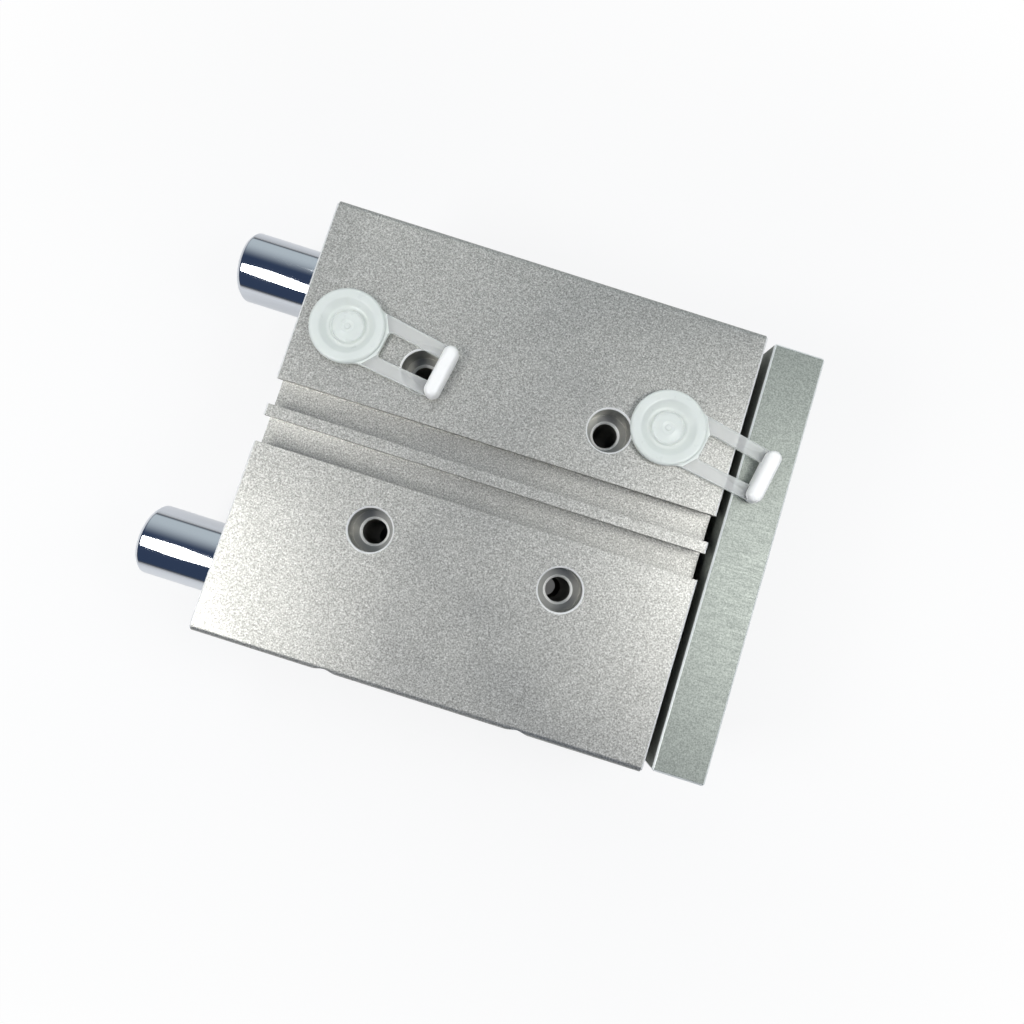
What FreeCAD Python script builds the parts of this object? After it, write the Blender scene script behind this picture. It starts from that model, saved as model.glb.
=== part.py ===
import FreeCAD, Part
import os
import re

import Sketcher

# Guided pneumatic cylinder, in millimetres.
# +X is the working direction of the yoke plate, +Y is the side of the air ports (left when looking
# along +X) and +Z is the front face with the sensor slots.  The origin lies on the back face, in
# the middle of the four mounting holes.  Each piece is drawn from its own datum and then placed.
# The piston is drawn fully drawn back, with the yoke plate next to the housing.

# Driving dimensions.  Every other size is worked out from these.
DIMENSIONS = (
    # housing block
    ("stroke", 50.0),
    ("housing_extra", 44.0),
    ("housing_width", 93.0),
    ("housing_height", 42.0),
    ("edge_round", 1.2),
    ("end_chamfer", 0.4),
    ("bore_diameter", 25.0),
    ("bore_mouth", 0.4),
    # sensor slots in the front face
    ("slot_width", 5.6),
    ("slot_pitch", 8.0),
    ("slot_depth", 4.5),
    ("slot_lip", 1.5),
    ("slot_undercut", 0.7),
    # mounting holes through the housing
    ("mount_setback", 28.0),
    ("mount_spacing_x", 40.0),
    ("mount_spacing_y", 34.0),
    ("mount_core_diameter", 5.2),
    ("mount_counterbore_diameter", 9.0),
    ("mount_counterbore_depth", 5.7),
    ("mount_mouth", 0.35),
    ("mount_seat_chamfer", 0.5),
    ("mount_back_countersink", 0.7),
    # threaded holes in the two narrow sides
    ("side_hole_edge", 4.4),
    ("side_spot_diameter", 8.5),
    ("side_spot_depth", 0.7),
    ("side_core_diameter", 5.0),
    ("side_core_depth", 11.0),
    ("side_core_chamfer", 0.5),
    # air ports and the passages to the bore
    ("port_rear_setback", 10.7),
    ("port_front_setback", 14.8),
    ("port_offset", 21.0),
    ("port_thread_diameter", 9.7),
    ("port_thread_height", 0.55),
    ("port_depth", 9.0),
    ("port_mouth", 0.6),
    ("port_cone", 1.5),
    ("air_passage_diameter", 2.8),
    # guide rods with their bushes and wipers
    ("rod_edge_distance", 13.0),
    ("guide_rod_diameter", 16.0),
    ("guide_rod_tail", 22.0),
    ("guide_rod_chamfer", 1.0),
    ("guide_bush_wall", 2.0),
    ("guide_bush_length", 22.0),
    ("guide_bush_chamfer", 0.4),
    ("guide_bush_cover", 1.0),
    ("guide_bore_relief", 0.9),
    ("wiper_thickness", 3.2),
    ("wiper_recess", 0.3),
    ("wiper_lip", 0.7),
    # yoke plate
    ("plate_gap", 1.8),
    ("plate_thickness", 11.0),
    ("plate_side_step", 1.0),
    ("plate_face_step", 0.5),
    ("plate_chamfer", 0.4),
    ("plate_recess", 2.5),
    ("load_spacing_y", 36.0),
    ("load_spacing_z", 24.0),
    ("load_core_diameter", 5.0),
    ("load_countersink", 0.6),
    # guide rod screws and piston rod screw
    ("rod_spigot_diameter", 12.0),
    ("guide_screw_diameter", 8.0),
    ("guide_screw_length", 16.0),
    ("guide_head_diameter", 13.0),
    ("guide_head_height", 5.0),
    ("guide_hex_key", 5.0),
    ("piston_screw_diameter", 6.0),
    ("piston_screw_length", 14.0),
    ("piston_head_diameter", 10.0),
    ("piston_head_height", 4.0),
    ("piston_hex_key", 4.0),
    ("hex_depth_share", 0.55),
    ("head_side_clearance", 0.5),
    ("head_sink", 0.4),
    ("head_chamfer", 0.5),
    ("screw_hole_clearance", 0.3),
    ("screw_tip_room", 2.0),
    # piston rod and piston
    ("piston_rod_diameter", 10.0),
    ("piston_rod_chamfer", 0.5),
    ("piston_spigot_diameter", 8.0),
    ("spigot_diameter", 19.6),
    ("spigot_length", 2.5),
    ("pad_thickness", 1.0),
    ("pad_inner_diameter", 16.4),
    ("land_clearance", 0.15),
    ("land_wall", 0.9),
    ("seal_width", 2.8),
    ("seal_depth", 2.2),
    ("guide_ring_width", 4.0),
    ("guide_ring_depth", 1.2),
    ("magnet_width", 3.0),
    ("magnet_depth", 3.0),
    ("seal_notch", 0.6),
    ("nut_across_flats", 13.0),
    ("nut_thickness", 4.0),
    ("nut_side_clearance", 0.3),
    ("rod_tip_length", 0.4),
    ("rod_oring_section", 1.2),
    # closures of the bore
    ("closure_step", 0.5),
    ("ring_setback", 1.4),
    ("ring_thickness", 1.2),
    ("ring_groove_depth", 0.6),
    ("ring_radial_width", 2.1),
    ("ring_gap", 5.0),
    ("ring_lug_radius", 2.1),
    ("ring_lug_hole_radius", 0.8),
    ("cover_thickness", 5.0),
    ("cover_dish_diameter", 14.0),
    ("cover_dish_depth", 0.8),
    ("cover_chamfer", 0.4),
    ("oring_section", 1.8),
    ("oring_side_room", 0.3),
    ("end_play", 0.15),
    ("rod_seal_diameter", 16.0),
    ("rod_seal_depth", 3.6),
    ("rod_seal_recess", 0.3),
    ("bush_wall", 1.0),
    ("bush_shoulder", 0.6),
    ("rod_passage", 0.4),
    # pull-off caps of the air ports
    ("cap_diameter", 15.6),
    ("cap_height", 2.0),
    ("cap_rim_width", 0.8),
    ("cap_rim_base", 0.7),
    ("cap_rim_round", 0.3),
    ("cap_dish_diameter", 8.6),
    ("cap_dish_depth", 1.0),
    ("cap_ring_diameter", 6.4),
    ("cap_ring_width", 0.5),
    ("cap_ring_height", 0.3),
    ("cap_pip_diameter", 2.8),
    ("cap_peg_length", 6.5),
    ("cap_peg_wall", 1.2),
    ("cap_peg_taper", 0.5),
    ("cap_floor", 1.0),
    ("strap_span", 11.9),
    ("strap_width", 3.0),
    ("strap_thickness", 1.0),
    ("strap_lift", 0.3),
    ("strap_flare", 2.3),
    ("strap_inset", 0.2),
    ("window_gap", 0.4),
    ("window_round", 1.0),
    ("pull_width", 11.5),
    ("pull_reach", 21.5),
    ("pull_thickness", 3.2),
    ("pull_height", 3.2),
    ("pull_round", 0.7),
    ("cap_rear_turn", -9.2),
    ("cap_front_turn", -10.5),
    # clearances
    ("static_clearance", 0.02),
    ("running_clearance", 0.05),
    ("cut_overrun", 1.0),
)

# Sizes that follow from the driving dimensions.  Lengths named ..._at are measured along X from the
# rear end of the housing.
DERIVED = {
    "housing_length": "stroke + housing_extra",
    "axis_height": "housing_height / 2",
    "rod_spacing": "housing_width - 2 * rod_edge_distance",
    "plate_width": "housing_width - 2 * plate_side_step",
    "plate_height": "housing_height - 2 * plate_face_step",
    "origin_at": "mount_setback + mount_spacing_x / 2",
    "plate_back_at": "housing_length + plate_gap",
    "plate_front_at": "plate_back_at + plate_thickness",
    "bore_radius": "bore_diameter / 2",
    "seat_radius": "bore_radius + closure_step",
    "ring_groove_radius": "seat_radius + ring_groove_depth",
    "ring_groove_end": "ring_setback + ring_thickness + static_clearance",
    "cover_back_at": "ring_groove_end",
    "cover_front_at": "cover_back_at + cover_thickness",
    "piston_back_at": "cover_front_at + end_play",
    "land_length": "2 * seal_width + guide_ring_width + magnet_width + 5 * land_wall",
    "piston_stack": "land_length + 2 * spigot_length + 2 * pad_thickness",
    "bearing_back_at": "piston_back_at + piston_stack + stroke + end_play",
    "bearing_front_at": "housing_length - ring_groove_end",
    "bearing_length": "bearing_front_at - bearing_back_at",
    "closure_radius": "seat_radius - static_clearance",
    "oring_groove_half": "oring_section / 2 + oring_side_room",
    "guide_bore_radius": "guide_rod_diameter / 2 + guide_bush_wall",
    "guide_relief_radius": "guide_rod_diameter / 2 + guide_bore_relief",
    "guide_shoulder_at": "stroke - guide_rod_tail + guide_rod_chamfer + guide_bush_cover",
    "front_bush_at": "housing_length - wiper_recess - wiper_thickness - guide_bush_length",
    "rod_radius": "piston_rod_diameter / 2",
    "rod_bush_length": "bearing_length - rod_seal_depth - bush_shoulder",
    "rod_bush_radius": "rod_radius + bush_wall + running_clearance",
    "land_radius": "bore_radius - land_clearance",
    "land_at": "pad_thickness + spigot_length",
    "rear_seal_at": "land_at + land_wall",
    "guide_ring_at": "rear_seal_at + seal_width + land_wall",
    "magnet_at": "guide_ring_at + guide_ring_width + land_wall",
    "front_seal_at": "magnet_at + magnet_width + land_wall",
    "land_end": "land_at + land_length",
    "piston_front": "land_end + spigot_length",
    "nut_radius": "nut_across_flats / sqrt(3)",
    "nut_seat": "pad_thickness + rod_tip_length + nut_thickness",
    "piston_hole_radius": "piston_spigot_diameter / 2 + static_clearance",
    "rod_oring_at": "(nut_seat + piston_front) / 2",
    "port_radius": "port_thread_diameter / 2",
    "port_floor": "housing_height - port_depth",
    "port_drop": "axis_height - port_depth",
    "cap_radius": "cap_diameter / 2",
    "strap_root": "cap_dish_diameter / 2",
    "strap_root_half": "sqrt(cap_radius ^ 2 - strap_root ^ 2)",
    "strap_tip_half": "pull_width / 2 - strap_inset",
    "cap_peg_radius": "port_radius - port_thread_height - running_clearance",
}

LEFT = 1
RIGHT = -1
SIDE_NAMES = {LEFT: "left", RIGHT: "right"}

DOC = FreeCAD.newDocument("guided_cylinder")
SHEET = DOC.addObject("Spreadsheet::Sheet", "Sizes")
SIZE_NAMES = {name for name, _ in DIMENSIONS}


def fill_sheet():
    """Write every driving dimension to the sheet, with its alias."""
    for row, (name, number) in enumerate(DIMENSIONS, start=1):
        SHEET.set(f"A{row}", name)
        SHEET.set(f"B{row}", str(number))
        SHEET.setAlias(f"B{row}", name)
    DOC.recompute()


def formula(text):
    """Spell out a formula of size names as an expression on the sheet."""

    def spell(match):
        word = match.group(0)
        if word in DERIVED:
            return f"({formula(DERIVED[word])})"
        if word in SIZE_NAMES:
            return f"Sizes.{word}"
        return word

    return re.sub(r"[a-z][a-z0-9_]*", spell, str(text))


def number(text):
    """Work out a formula's present value."""
    result = SHEET.evalExpression(formula(text))
    return float(getattr(result, "Value", result))


def sketch_offset(plane, at):
    """Turn a point in the piece's own axes into an offset in the axes of one of its planes."""
    along, across, up = at
    if plane == "XY_Plane":
        return (along, across, up)
    if plane == "XZ_Plane":
        return (along, up, f"-({across})")
    return (across, up, along)


def rectangle(low_x, low_y, high_x, high_y):
    """Corner points of an upright rectangle in a sketch."""
    return ((low_x, low_y), (high_x, low_y), (high_x, high_y), (low_x, high_y))


def hexagon(across_flats):
    """Corner points of a hexagon with two corners on the sketch's horizontal axis."""
    corner = f"({across_flats}) / sqrt(3)"
    flat = f"({across_flats}) / 2"
    return (
        (corner, "0"),
        (f"{corner} / 2", flat),
        (f"-{corner} / 2", flat),
        (f"-{corner}", "0"),
        (f"-{corner} / 2", f"-{flat}"),
        (f"{corner} / 2", f"-{flat}"),
    )


class Piece:
    """One sub-part: a body whose sketches and features follow the sheet."""

    def __init__(self, label):
        self.body = DOC.addObject("PartDesign::Body", label)
        self.body.Label = label

    def datum(self, role):
        """The body's own origin plane or axis with this role."""
        return next(item for item in self.body.Origin.OriginFeatures if item.Role == role)

    def tie(self, item, settings):
        """Bind properties of an item to formulas."""
        for name, text in settings.items():
            item.setExpression(name, formula(text))

    def sketch(self, name, plane, at):
        """An empty sketch on an origin plane, moved so that its own origin lies at a point."""
        sketch = self.body.newObject("Sketcher::SketchObject", name)
        sketch.AttachmentSupport = (self.datum(plane), [""])
        sketch.MapMode = "FlatFace"
        offsets = zip("xyz", sketch_offset(plane, at))
        self.tie(sketch, {f"AttachmentOffset.Base.{axis}": text for axis, text in offsets})
        return sketch

    def pin(self, sketch, geometry, position, across, up):
        """Hold one point of a sketch at two formulas."""
        for kind, text, axis in (("DistanceX", across, -2), ("DistanceY", up, -1)):
            distance = number(text)
            if abs(distance) < 1e-9:
                sketch.addConstraint(Sketcher.Constraint("PointOnObject", geometry, position, axis))
                continue
            ends = (-1, 1, geometry, position) if distance > 0 else (geometry, position, -1, 1)
            sign = "" if distance > 0 else "-"
            index = sketch.addConstraint(Sketcher.Constraint(kind, *ends, abs(distance)))
            sketch.setExpression(f"Constraints[{index}]", f"{sign}({formula(text)})")

    def outline(self, name, plane, points, at=("0", "0", "0")):
        """A sketch of one closed outline of straight lines through the points."""
        sketch = self.sketch(name, plane, at)
        corners = [FreeCAD.Vector(number(across), number(up), 0) for across, up in points]
        count = len(corners)
        for index, corner in enumerate(corners):
            sketch.addGeometry(Part.LineSegment(corner, corners[(index + 1) % count]), False)
        for index in range(count):
            following = (index + 1) % count
            sketch.addConstraint(Sketcher.Constraint("Coincident", index, 2, following, 1))
        for index, (across, up) in enumerate(points):
            self.pin(sketch, index, 1, across, up)
        return sketch

    def circles(self, name, plane, rounds, at=("0", "0", "0")):
        """A sketch of circles, each given as its centre's two formulas and its radius."""
        sketch = self.sketch(name, plane, at)
        for index, (across, up, radius) in enumerate(rounds):
            centre = FreeCAD.Vector(number(across), number(up), 0)
            sketch.addGeometry(Part.Circle(centre, FreeCAD.Vector(0, 0, 1), number(radius)), False)
            self.pin(sketch, index, 3, across, up)
            held = sketch.addConstraint(Sketcher.Constraint("Radius", index, number(radius)))
            sketch.setExpression(f"Constraints[{held}]", formula(radius))
        return sketch

    def pad(self, name, sketch, length):
        """Raise a sketch along its plane's normal."""
        feature = self.body.newObject("PartDesign::Pad", name)
        feature.Profile = (sketch, [""])
        self.tie(feature, {"Length": length})
        return feature

    def pocket(self, name, sketch, length=None):
        """Cut a sketch along its plane's normal, right through where no length is given."""
        feature = self.body.newObject("PartDesign::Pocket", name)
        feature.Profile = (sketch, [""])
        feature.Reversed = True
        if length is None:
            feature.Type = "ThroughAll"
        else:
            self.tie(feature, {"Length": length})
        return feature

    def spin(self, kind, name, points, plane, axis, at):
        """Turn an outline about its sketch's own horizontal or vertical axis."""
        sketch = self.outline(f"{name}_profile", plane, points, at)
        feature = self.body.newObject(kind, name)
        feature.Profile = (sketch, [""])
        feature.ReferenceAxis = (sketch, [axis])
        feature.Angle = 360
        return feature

    def turned(self, name, points, plane="XY_Plane", axis="H_Axis", at=("0", "0", "0")):
        """A turned solid."""
        return self.spin("PartDesign::Revolution", name, points, plane, axis, at)

    def bored(self, name, points, plane="XY_Plane", axis="H_Axis", at=("0", "0", "0")):
        """A turned hole."""
        return self.spin("PartDesign::Groove", name, points, plane, axis, at)

    def dress(self, kind, name, base, wanted, setting, size):
        """Round or chamfer the edges of a feature that pass a test."""
        DOC.recompute()
        edges = [f"Edge{i}" for i, edge in enumerate(base.Shape.Edges, start=1) if wanted(edge)]
        feature = self.body.newObject(kind, name)
        feature.Base = (base, edges)
        self.tie(feature, {setting: size})
        return feature

    def place(self, along="0", across="0", up="0", turn=None):
        """Set the body down in the frame: along from the housing's rear end, turned about Z."""
        if turn is not None:
            upright = FreeCAD.Rotation(FreeCAD.Vector(0, 0, 1), number(turn))
            self.body.Placement = FreeCAD.Placement(FreeCAD.Vector(), upright)
            self.tie(self.body, {"Placement.Rotation.Angle": turn})
        settings = {
            "Placement.Base.x": f"{along} - origin_at",
            "Placement.Base.y": across,
            "Placement.Base.z": up,
        }
        self.tie(self.body, settings)


def lies_across(edge):
    """True for an edge that lies in one plane across X."""
    return edge.BoundBox.XLength < 1e-6


def build_housing():
    """The extruded block with its bores, slots, ports and mounting holes."""
    housing = Piece("housing")
    corners = rectangle("-housing_width / 2", "0", "housing_width / 2", "housing_height")
    block = housing.pad("block", housing.outline("section", "YZ_Plane", corners), "housing_length")
    rounds = housing.dress(
        "PartDesign::Fillet", "long_edges", block, lambda edge: not lies_across(edge), "Radius", "edge_round"
    )
    housing.dress("PartDesign::Chamfer", "end_edges", rounds, lies_across, "Size", "end_chamfer")
    cut_sensor_slots(housing)
    cut_cylinder_bore(housing)
    for side in (LEFT, RIGHT):
        cut_guide_bore(housing, side)
    cut_mounting_holes(housing)
    cut_ports(housing)
    housing.place()


def cut_sensor_slots(housing):
    """Two undercut slots along the whole front face, side by side over the bore."""
    for side in (LEFT, RIGHT):
        middle = f"{side} * slot_pitch / 2"
        mouth = "slot_width / 2"
        inside = "(slot_width / 2 + slot_undercut)"
        points = (
            (f"{middle} - {mouth}", "housing_height + cut_overrun"),
            (f"{middle} - {mouth}", "housing_height - slot_lip"),
            (f"{middle} - {inside}", "housing_height - slot_lip"),
            (f"{middle} - {inside}", "housing_height - slot_depth"),
            (f"{middle} + {inside}", "housing_height - slot_depth"),
            (f"{middle} + {inside}", "housing_height - slot_lip"),
            (f"{middle} + {mouth}", "housing_height - slot_lip"),
            (f"{middle} + {mouth}", "housing_height + cut_overrun"),
        )
        name = f"sensor_slot_{SIDE_NAMES[side]}"
        housing.pocket(name, housing.outline(f"{name}_section", "YZ_Plane", points))


def cut_cylinder_bore(housing):
    """The piston's bore, with a wider seat and a retaining ring's groove for each closure."""
    flare = "seat_radius + bore_mouth + cut_overrun"
    points = (
        ("-cut_overrun", "0"),
        ("-cut_overrun", flare),
        ("bore_mouth", "seat_radius"),
        ("ring_setback", "seat_radius"),
        ("ring_setback", "ring_groove_radius"),
        ("ring_groove_end", "ring_groove_radius"),
        ("ring_groove_end", "seat_radius"),
        ("cover_front_at", "seat_radius"),
        ("cover_front_at", "bore_radius"),
        ("bearing_back_at", "bore_radius"),
        ("bearing_back_at", "seat_radius"),
        ("bearing_front_at", "seat_radius"),
        ("bearing_front_at", "ring_groove_radius"),
        ("housing_length - ring_setback", "ring_groove_radius"),
        ("housing_length - ring_setback", "seat_radius"),
        ("housing_length - bore_mouth", "seat_radius"),
        ("housing_length + cut_overrun", flare),
        ("housing_length + cut_overrun", "0"),
    )
    housing.bored("cylinder_bore", points, at=("0", "0", "axis_height"))


def cut_guide_bore(housing, side):
    """One guide rod's bore: wide from the front for bushes and wiper, a free fit behind them.

    The shoulder that stops the rear bush lies where the rod still fills the bush at full stroke.
    """
    points = (
        ("-cut_overrun", "0"),
        ("-cut_overrun", "guide_relief_radius + bore_mouth + cut_overrun"),
        ("bore_mouth", "guide_relief_radius"),
        ("guide_shoulder_at", "guide_relief_radius"),
        ("guide_shoulder_at", "guide_bore_radius"),
        ("housing_length - bore_mouth", "guide_bore_radius"),
        ("housing_length + cut_overrun", "guide_bore_radius + bore_mouth + cut_overrun"),
        ("housing_length + cut_overrun", "0"),
    )
    name = f"guide_bore_{SIDE_NAMES[side]}"
    housing.bored(name, points, at=("0", f"{side} * rod_spacing / 2", "axis_height"))


def cut_mounting_holes(housing):
    """Counterbored holes from the front and threaded holes in the right side, in two rows."""
    cuts = []
    core = "mount_core_diameter / 2"
    seat = "housing_height - mount_counterbore_depth"
    head = "mount_counterbore_diameter / 2"
    points = (
        ("0", "-cut_overrun"),
        (f"{core} + mount_back_countersink + cut_overrun", "-cut_overrun"),
        (core, "mount_back_countersink"),
        (core, f"{seat} - mount_seat_chamfer"),
        (f"{core} + mount_seat_chamfer", seat),
        (head, seat),
        (head, "housing_height - mount_mouth"),
        (f"{head} + mount_mouth + cut_overrun", "housing_height + cut_overrun"),
        ("0", "housing_height + cut_overrun"),
    )
    for side in (LEFT, RIGHT):
        at = ("mount_setback", f"{side} * mount_spacing_y / 2", "0")
        name = f"mounting_hole_{SIDE_NAMES[side]}"
        cuts.append(housing.bored(name, points, "XZ_Plane", "V_Axis", at))
    levels = {"low": "side_hole_edge", "high": "housing_height - side_hole_edge"}
    for level, height in levels.items():
        at = ("mount_setback", "-housing_width / 2", height)
        name = f"side_hole_{level}"
        cuts.append(housing.bored(name, side_hole_points(), "XY_Plane", "V_Axis", at))
    row = housing.body.newObject("PartDesign::LinearPattern", "second_row")
    row.Originals = cuts
    row.Direction = (housing.datum("X_Axis"), [""])
    row.Occurrences = 2
    housing.tie(row, {"Length": "mount_spacing_x"})
    housing.body.Tip = row


def side_hole_points():
    """Outline of a spot face and a drilled core that run inwards from the right narrow side."""
    core = "side_core_diameter / 2"
    return (
        ("0", "-cut_overrun"),
        ("side_spot_diameter / 2", "-cut_overrun"),
        ("side_spot_diameter / 2", "side_spot_depth"),
        (f"{core} + side_core_chamfer", "side_spot_depth"),
        (core, "side_spot_depth + side_core_chamfer"),
        (core, "side_core_depth"),
        ("0", f"side_core_depth + {core} / sqrt(3)"),
    )


def port_positions():
    """Name of each air port and its place along X from the rear end."""
    return {"rear": "port_rear_setback", "front": "housing_length - port_front_setback"}


def cut_ports(housing):
    """Two air ports in the front face, each with a slanted passage to the bore."""
    points = (
        ("0", "housing_height + cut_overrun"),
        ("port_radius + port_mouth + cut_overrun", "housing_height + cut_overrun"),
        ("port_radius", "housing_height - port_mouth"),
        ("port_radius", "port_floor"),
        ("0", "port_floor - port_cone"),
    )
    for name, along in port_positions().items():
        at = (along, "port_offset", "0")
        housing.bored(f"port_{name}", points, "XZ_Plane", "V_Axis", at)
        passage = housing.body.newObject("PartDesign::SubtractiveCylinder", f"air_passage_{name}")
        passage.AttachmentSupport = (housing.datum("XY_Plane"), [""])
        passage.MapMode = "FlatFace"
        passage.AttachmentOffset = FreeCAD.Placement(
            FreeCAD.Vector(), FreeCAD.Rotation(FreeCAD.Vector(1, 0, 0), 90)
        )
        settings = {
            "Radius": "air_passage_diameter / 2",
            "Height": "sqrt(port_offset ^ 2 + port_drop ^ 2) - bore_radius / 2",
            "AttachmentOffset.Base.x": along,
            "AttachmentOffset.Base.y": "port_offset",
            "AttachmentOffset.Base.z": "port_floor",
            "AttachmentOffset.Rotation.Angle": "180 deg - atan(port_offset / port_drop)",
        }
        housing.tie(passage, settings)


def ring_of(name, low, high, inner, outer, along, across="0"):
    """A plain turned ring around an axis at mid height."""
    ring = Piece(name)
    ring.turned("ring", ((low, inner), (high, inner), (high, outer), (low, outer)))
    ring.place(along, across, "axis_height")


def build_retaining_ring(name, along):
    """An internal retaining ring: an open band with two holed lugs below the axis."""
    ring = Piece(name)
    outer = "(ring_groove_radius - static_clearance)"
    inner = f"({outer} - ring_radial_width)"
    lug_across = "(ring_gap / 2 + ring_lug_radius)"
    lug_down = f"(ring_lug_radius / 2 - {inner})"
    band = ring.circles("band_section", "YZ_Plane", (("0", "0", outer), ("0", "0", inner)))
    ring.pad("band", band, "ring_thickness")
    lugs = [(f"{side} * {lug_across}", lug_down, "ring_lug_radius") for side in (LEFT, RIGHT)]
    ring.pad("lugs", ring.circles("lug_section", "YZ_Plane", lugs), "ring_thickness")
    opening = rectangle("-ring_gap / 2", f"-{outer} - cut_overrun", "ring_gap / 2", "0")
    ring.pocket("opening", ring.outline("opening_section", "YZ_Plane", opening))
    holes = [(across, up, "ring_lug_hole_radius") for across, up, _ in lugs]
    ring.pocket("plier_holes", ring.circles("plier_hole_section", "YZ_Plane", holes))
    ring.place(along, up="axis_height")


def grooved_rim(length):
    """Outer edge of a bore closure, from its rear end to its front end, with an O-ring groove."""
    floor = "closure_radius - oring_section - static_clearance"
    middle = f"({length}) / 2"
    return (
        ("0", "closure_radius - cover_chamfer"),
        ("cover_chamfer", "closure_radius"),
        (f"{middle} - oring_groove_half", "closure_radius"),
        (f"{middle} - oring_groove_half", floor),
        (f"{middle} + oring_groove_half", floor),
        (f"{middle} + oring_groove_half", "closure_radius"),
        (f"{length} - cover_chamfer", "closure_radius"),
        (length, "closure_radius - cover_chamfer"),
    )


def build_rear_cover():
    """The turned plug that closes the bore at the rear, dished on its outside."""
    cover = Piece("rear_cover")
    points = (("cover_dish_depth", "0"), ("cover_dish_depth", "cover_dish_diameter / 2"))
    points += (("0", "cover_dish_diameter / 2 + cover_chamfer"),)
    points += grooved_rim("cover_thickness") + (("cover_thickness", "0"),)
    cover.turned("plug", points)
    cover.place("cover_back_at", up="axis_height")


def build_bearing_cap():
    """The turned plug that closes the bore at the front and carries the piston rod's bush."""
    cap = Piece("bearing_cap")
    seal = "rod_seal_diameter / 2"
    passage = "rod_radius + rod_passage"
    points = (
        ("0", "rod_bush_radius"),
        ("0", "closure_radius - cover_chamfer"),
    )
    points += grooved_rim("bearing_length")[1:]
    points += (
        ("bearing_length", seal),
        ("bearing_length - rod_seal_depth", seal),
        ("bearing_length - rod_seal_depth", passage),
        ("rod_bush_length", passage),
        ("rod_bush_length", "rod_bush_radius"),
    )
    cap.turned("plug", points)
    cap.place("bearing_back_at", up="axis_height")


def build_oring(name, middle_at, middle_radius, section):
    """An O-ring around the cylinder's axis."""
    ring = Piece(name)
    sketch = ring.circles("section", "XY_Plane", (("0", middle_radius, f"({section}) / 2"),))
    feature = ring.body.newObject("PartDesign::Revolution", "ring")
    feature.Profile = (sketch, [""])
    feature.ReferenceAxis = (sketch, ["H_Axis"])
    feature.Angle = 360
    ring.place(middle_at, up="axis_height")


def build_closures():
    """What closes the bore at both ends: plugs, their O-rings and the retaining rings."""
    build_rear_cover()
    build_bearing_cap()
    reach = "closure_radius - oring_section / 2"
    build_oring("rear_cover_oring", "cover_back_at + cover_thickness / 2", reach, "oring_section")
    build_oring("bearing_cap_oring", "bearing_back_at + bearing_length / 2", reach, "oring_section")
    build_retaining_ring("rear_retaining_ring", "ring_setback")
    build_retaining_ring("front_retaining_ring", "bearing_front_at + static_clearance")
    ring_of(
        "rod_bush",
        "0",
        "rod_bush_length",
        "rod_radius + running_clearance",
        "rod_bush_radius - static_clearance",
        "bearing_back_at",
    )
    build_rod_seal()


def build_rod_seal():
    """The piston rod's seal: a notched ring with a wiping lip at its front."""
    seal = Piece("rod_seal")
    outer = "(rod_seal_diameter / 2 - static_clearance)"
    inner = "(rod_radius + running_clearance)"
    middle = f"({outer} + {inner}) / 2"
    length = "(rod_seal_depth - rod_seal_recess)"
    points = (
        ("0", inner),
        (length, inner),
        (length, f"{inner} + wiper_lip"),
        (f"{length} - wiper_lip", f"{inner} + 2 * wiper_lip"),
        (f"{length} - wiper_lip", outer),
        ("0", outer),
        ("0", f"{middle} + seal_notch"),
        ("seal_notch", middle),
        ("0", f"{middle} - seal_notch"),
    )
    seal.turned("ring", points)
    seal.place("bearing_front_at - rod_seal_depth", up="axis_height")


def build_guide_bush(side, end):
    """One guide bush, chamfered at its mouth for the rod."""
    bush = Piece(f"guide_bush_{end}_{SIDE_NAMES[side]}")
    inner = "guide_rod_diameter / 2 + running_clearance"
    outer = "guide_bore_radius - static_clearance"
    points = (
        ("0", f"{inner} + guide_bush_chamfer"),
        ("guide_bush_chamfer", inner),
        ("guide_bush_length - guide_bush_chamfer", inner),
        ("guide_bush_length", f"{inner} + guide_bush_chamfer"),
        ("guide_bush_length", outer),
        ("0", outer),
    )
    bush.turned("ring", points)
    seats = {"rear": "guide_shoulder_at", "front": "front_bush_at"}
    bush.place(seats[end], f"{side} * rod_spacing / 2", "axis_height")


def build_guide_wiper(side):
    """One guide rod's wiper in front of the bushes: a ring that steps down to a lip outside."""
    wiper = Piece(f"guide_wiper_{SIDE_NAMES[side]}")
    inner = "guide_rod_diameter / 2 + running_clearance"
    outer = "guide_bore_radius - static_clearance"
    points = (
        ("0", inner),
        ("0", outer),
        ("wiper_thickness - wiper_lip", outer),
        ("wiper_thickness - wiper_lip", f"{inner} + 1.5 * wiper_lip"),
        ("wiper_thickness", f"{inner} + wiper_lip"),
        ("wiper_thickness", inner),
    )
    wiper.turned("ring", points)
    along = "housing_length - wiper_recess - wiper_thickness"
    wiper.place(along, f"{side} * rod_spacing / 2", "axis_height")


def screw_pocket(head_diameter, head_height, screw_diameter, recess_diameter):
    """Outline of a screw's hole in the yoke plate: rear recess, clearance hole, counterbore."""
    through = f"{screw_diameter} / 2 + screw_hole_clearance"
    seat = f"plate_thickness - head_sink - {head_height}"
    head = f"{head_diameter} / 2 + head_side_clearance"
    recess = f"{recess_diameter} / 2 + static_clearance"
    return (
        ("-cut_overrun", "0"),
        ("-cut_overrun", recess),
        ("plate_recess", recess),
        ("plate_recess", through),
        (seat, through),
        (seat, head),
        ("plate_thickness + cut_overrun", head),
        ("plate_thickness + cut_overrun", "0"),
    )


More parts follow.
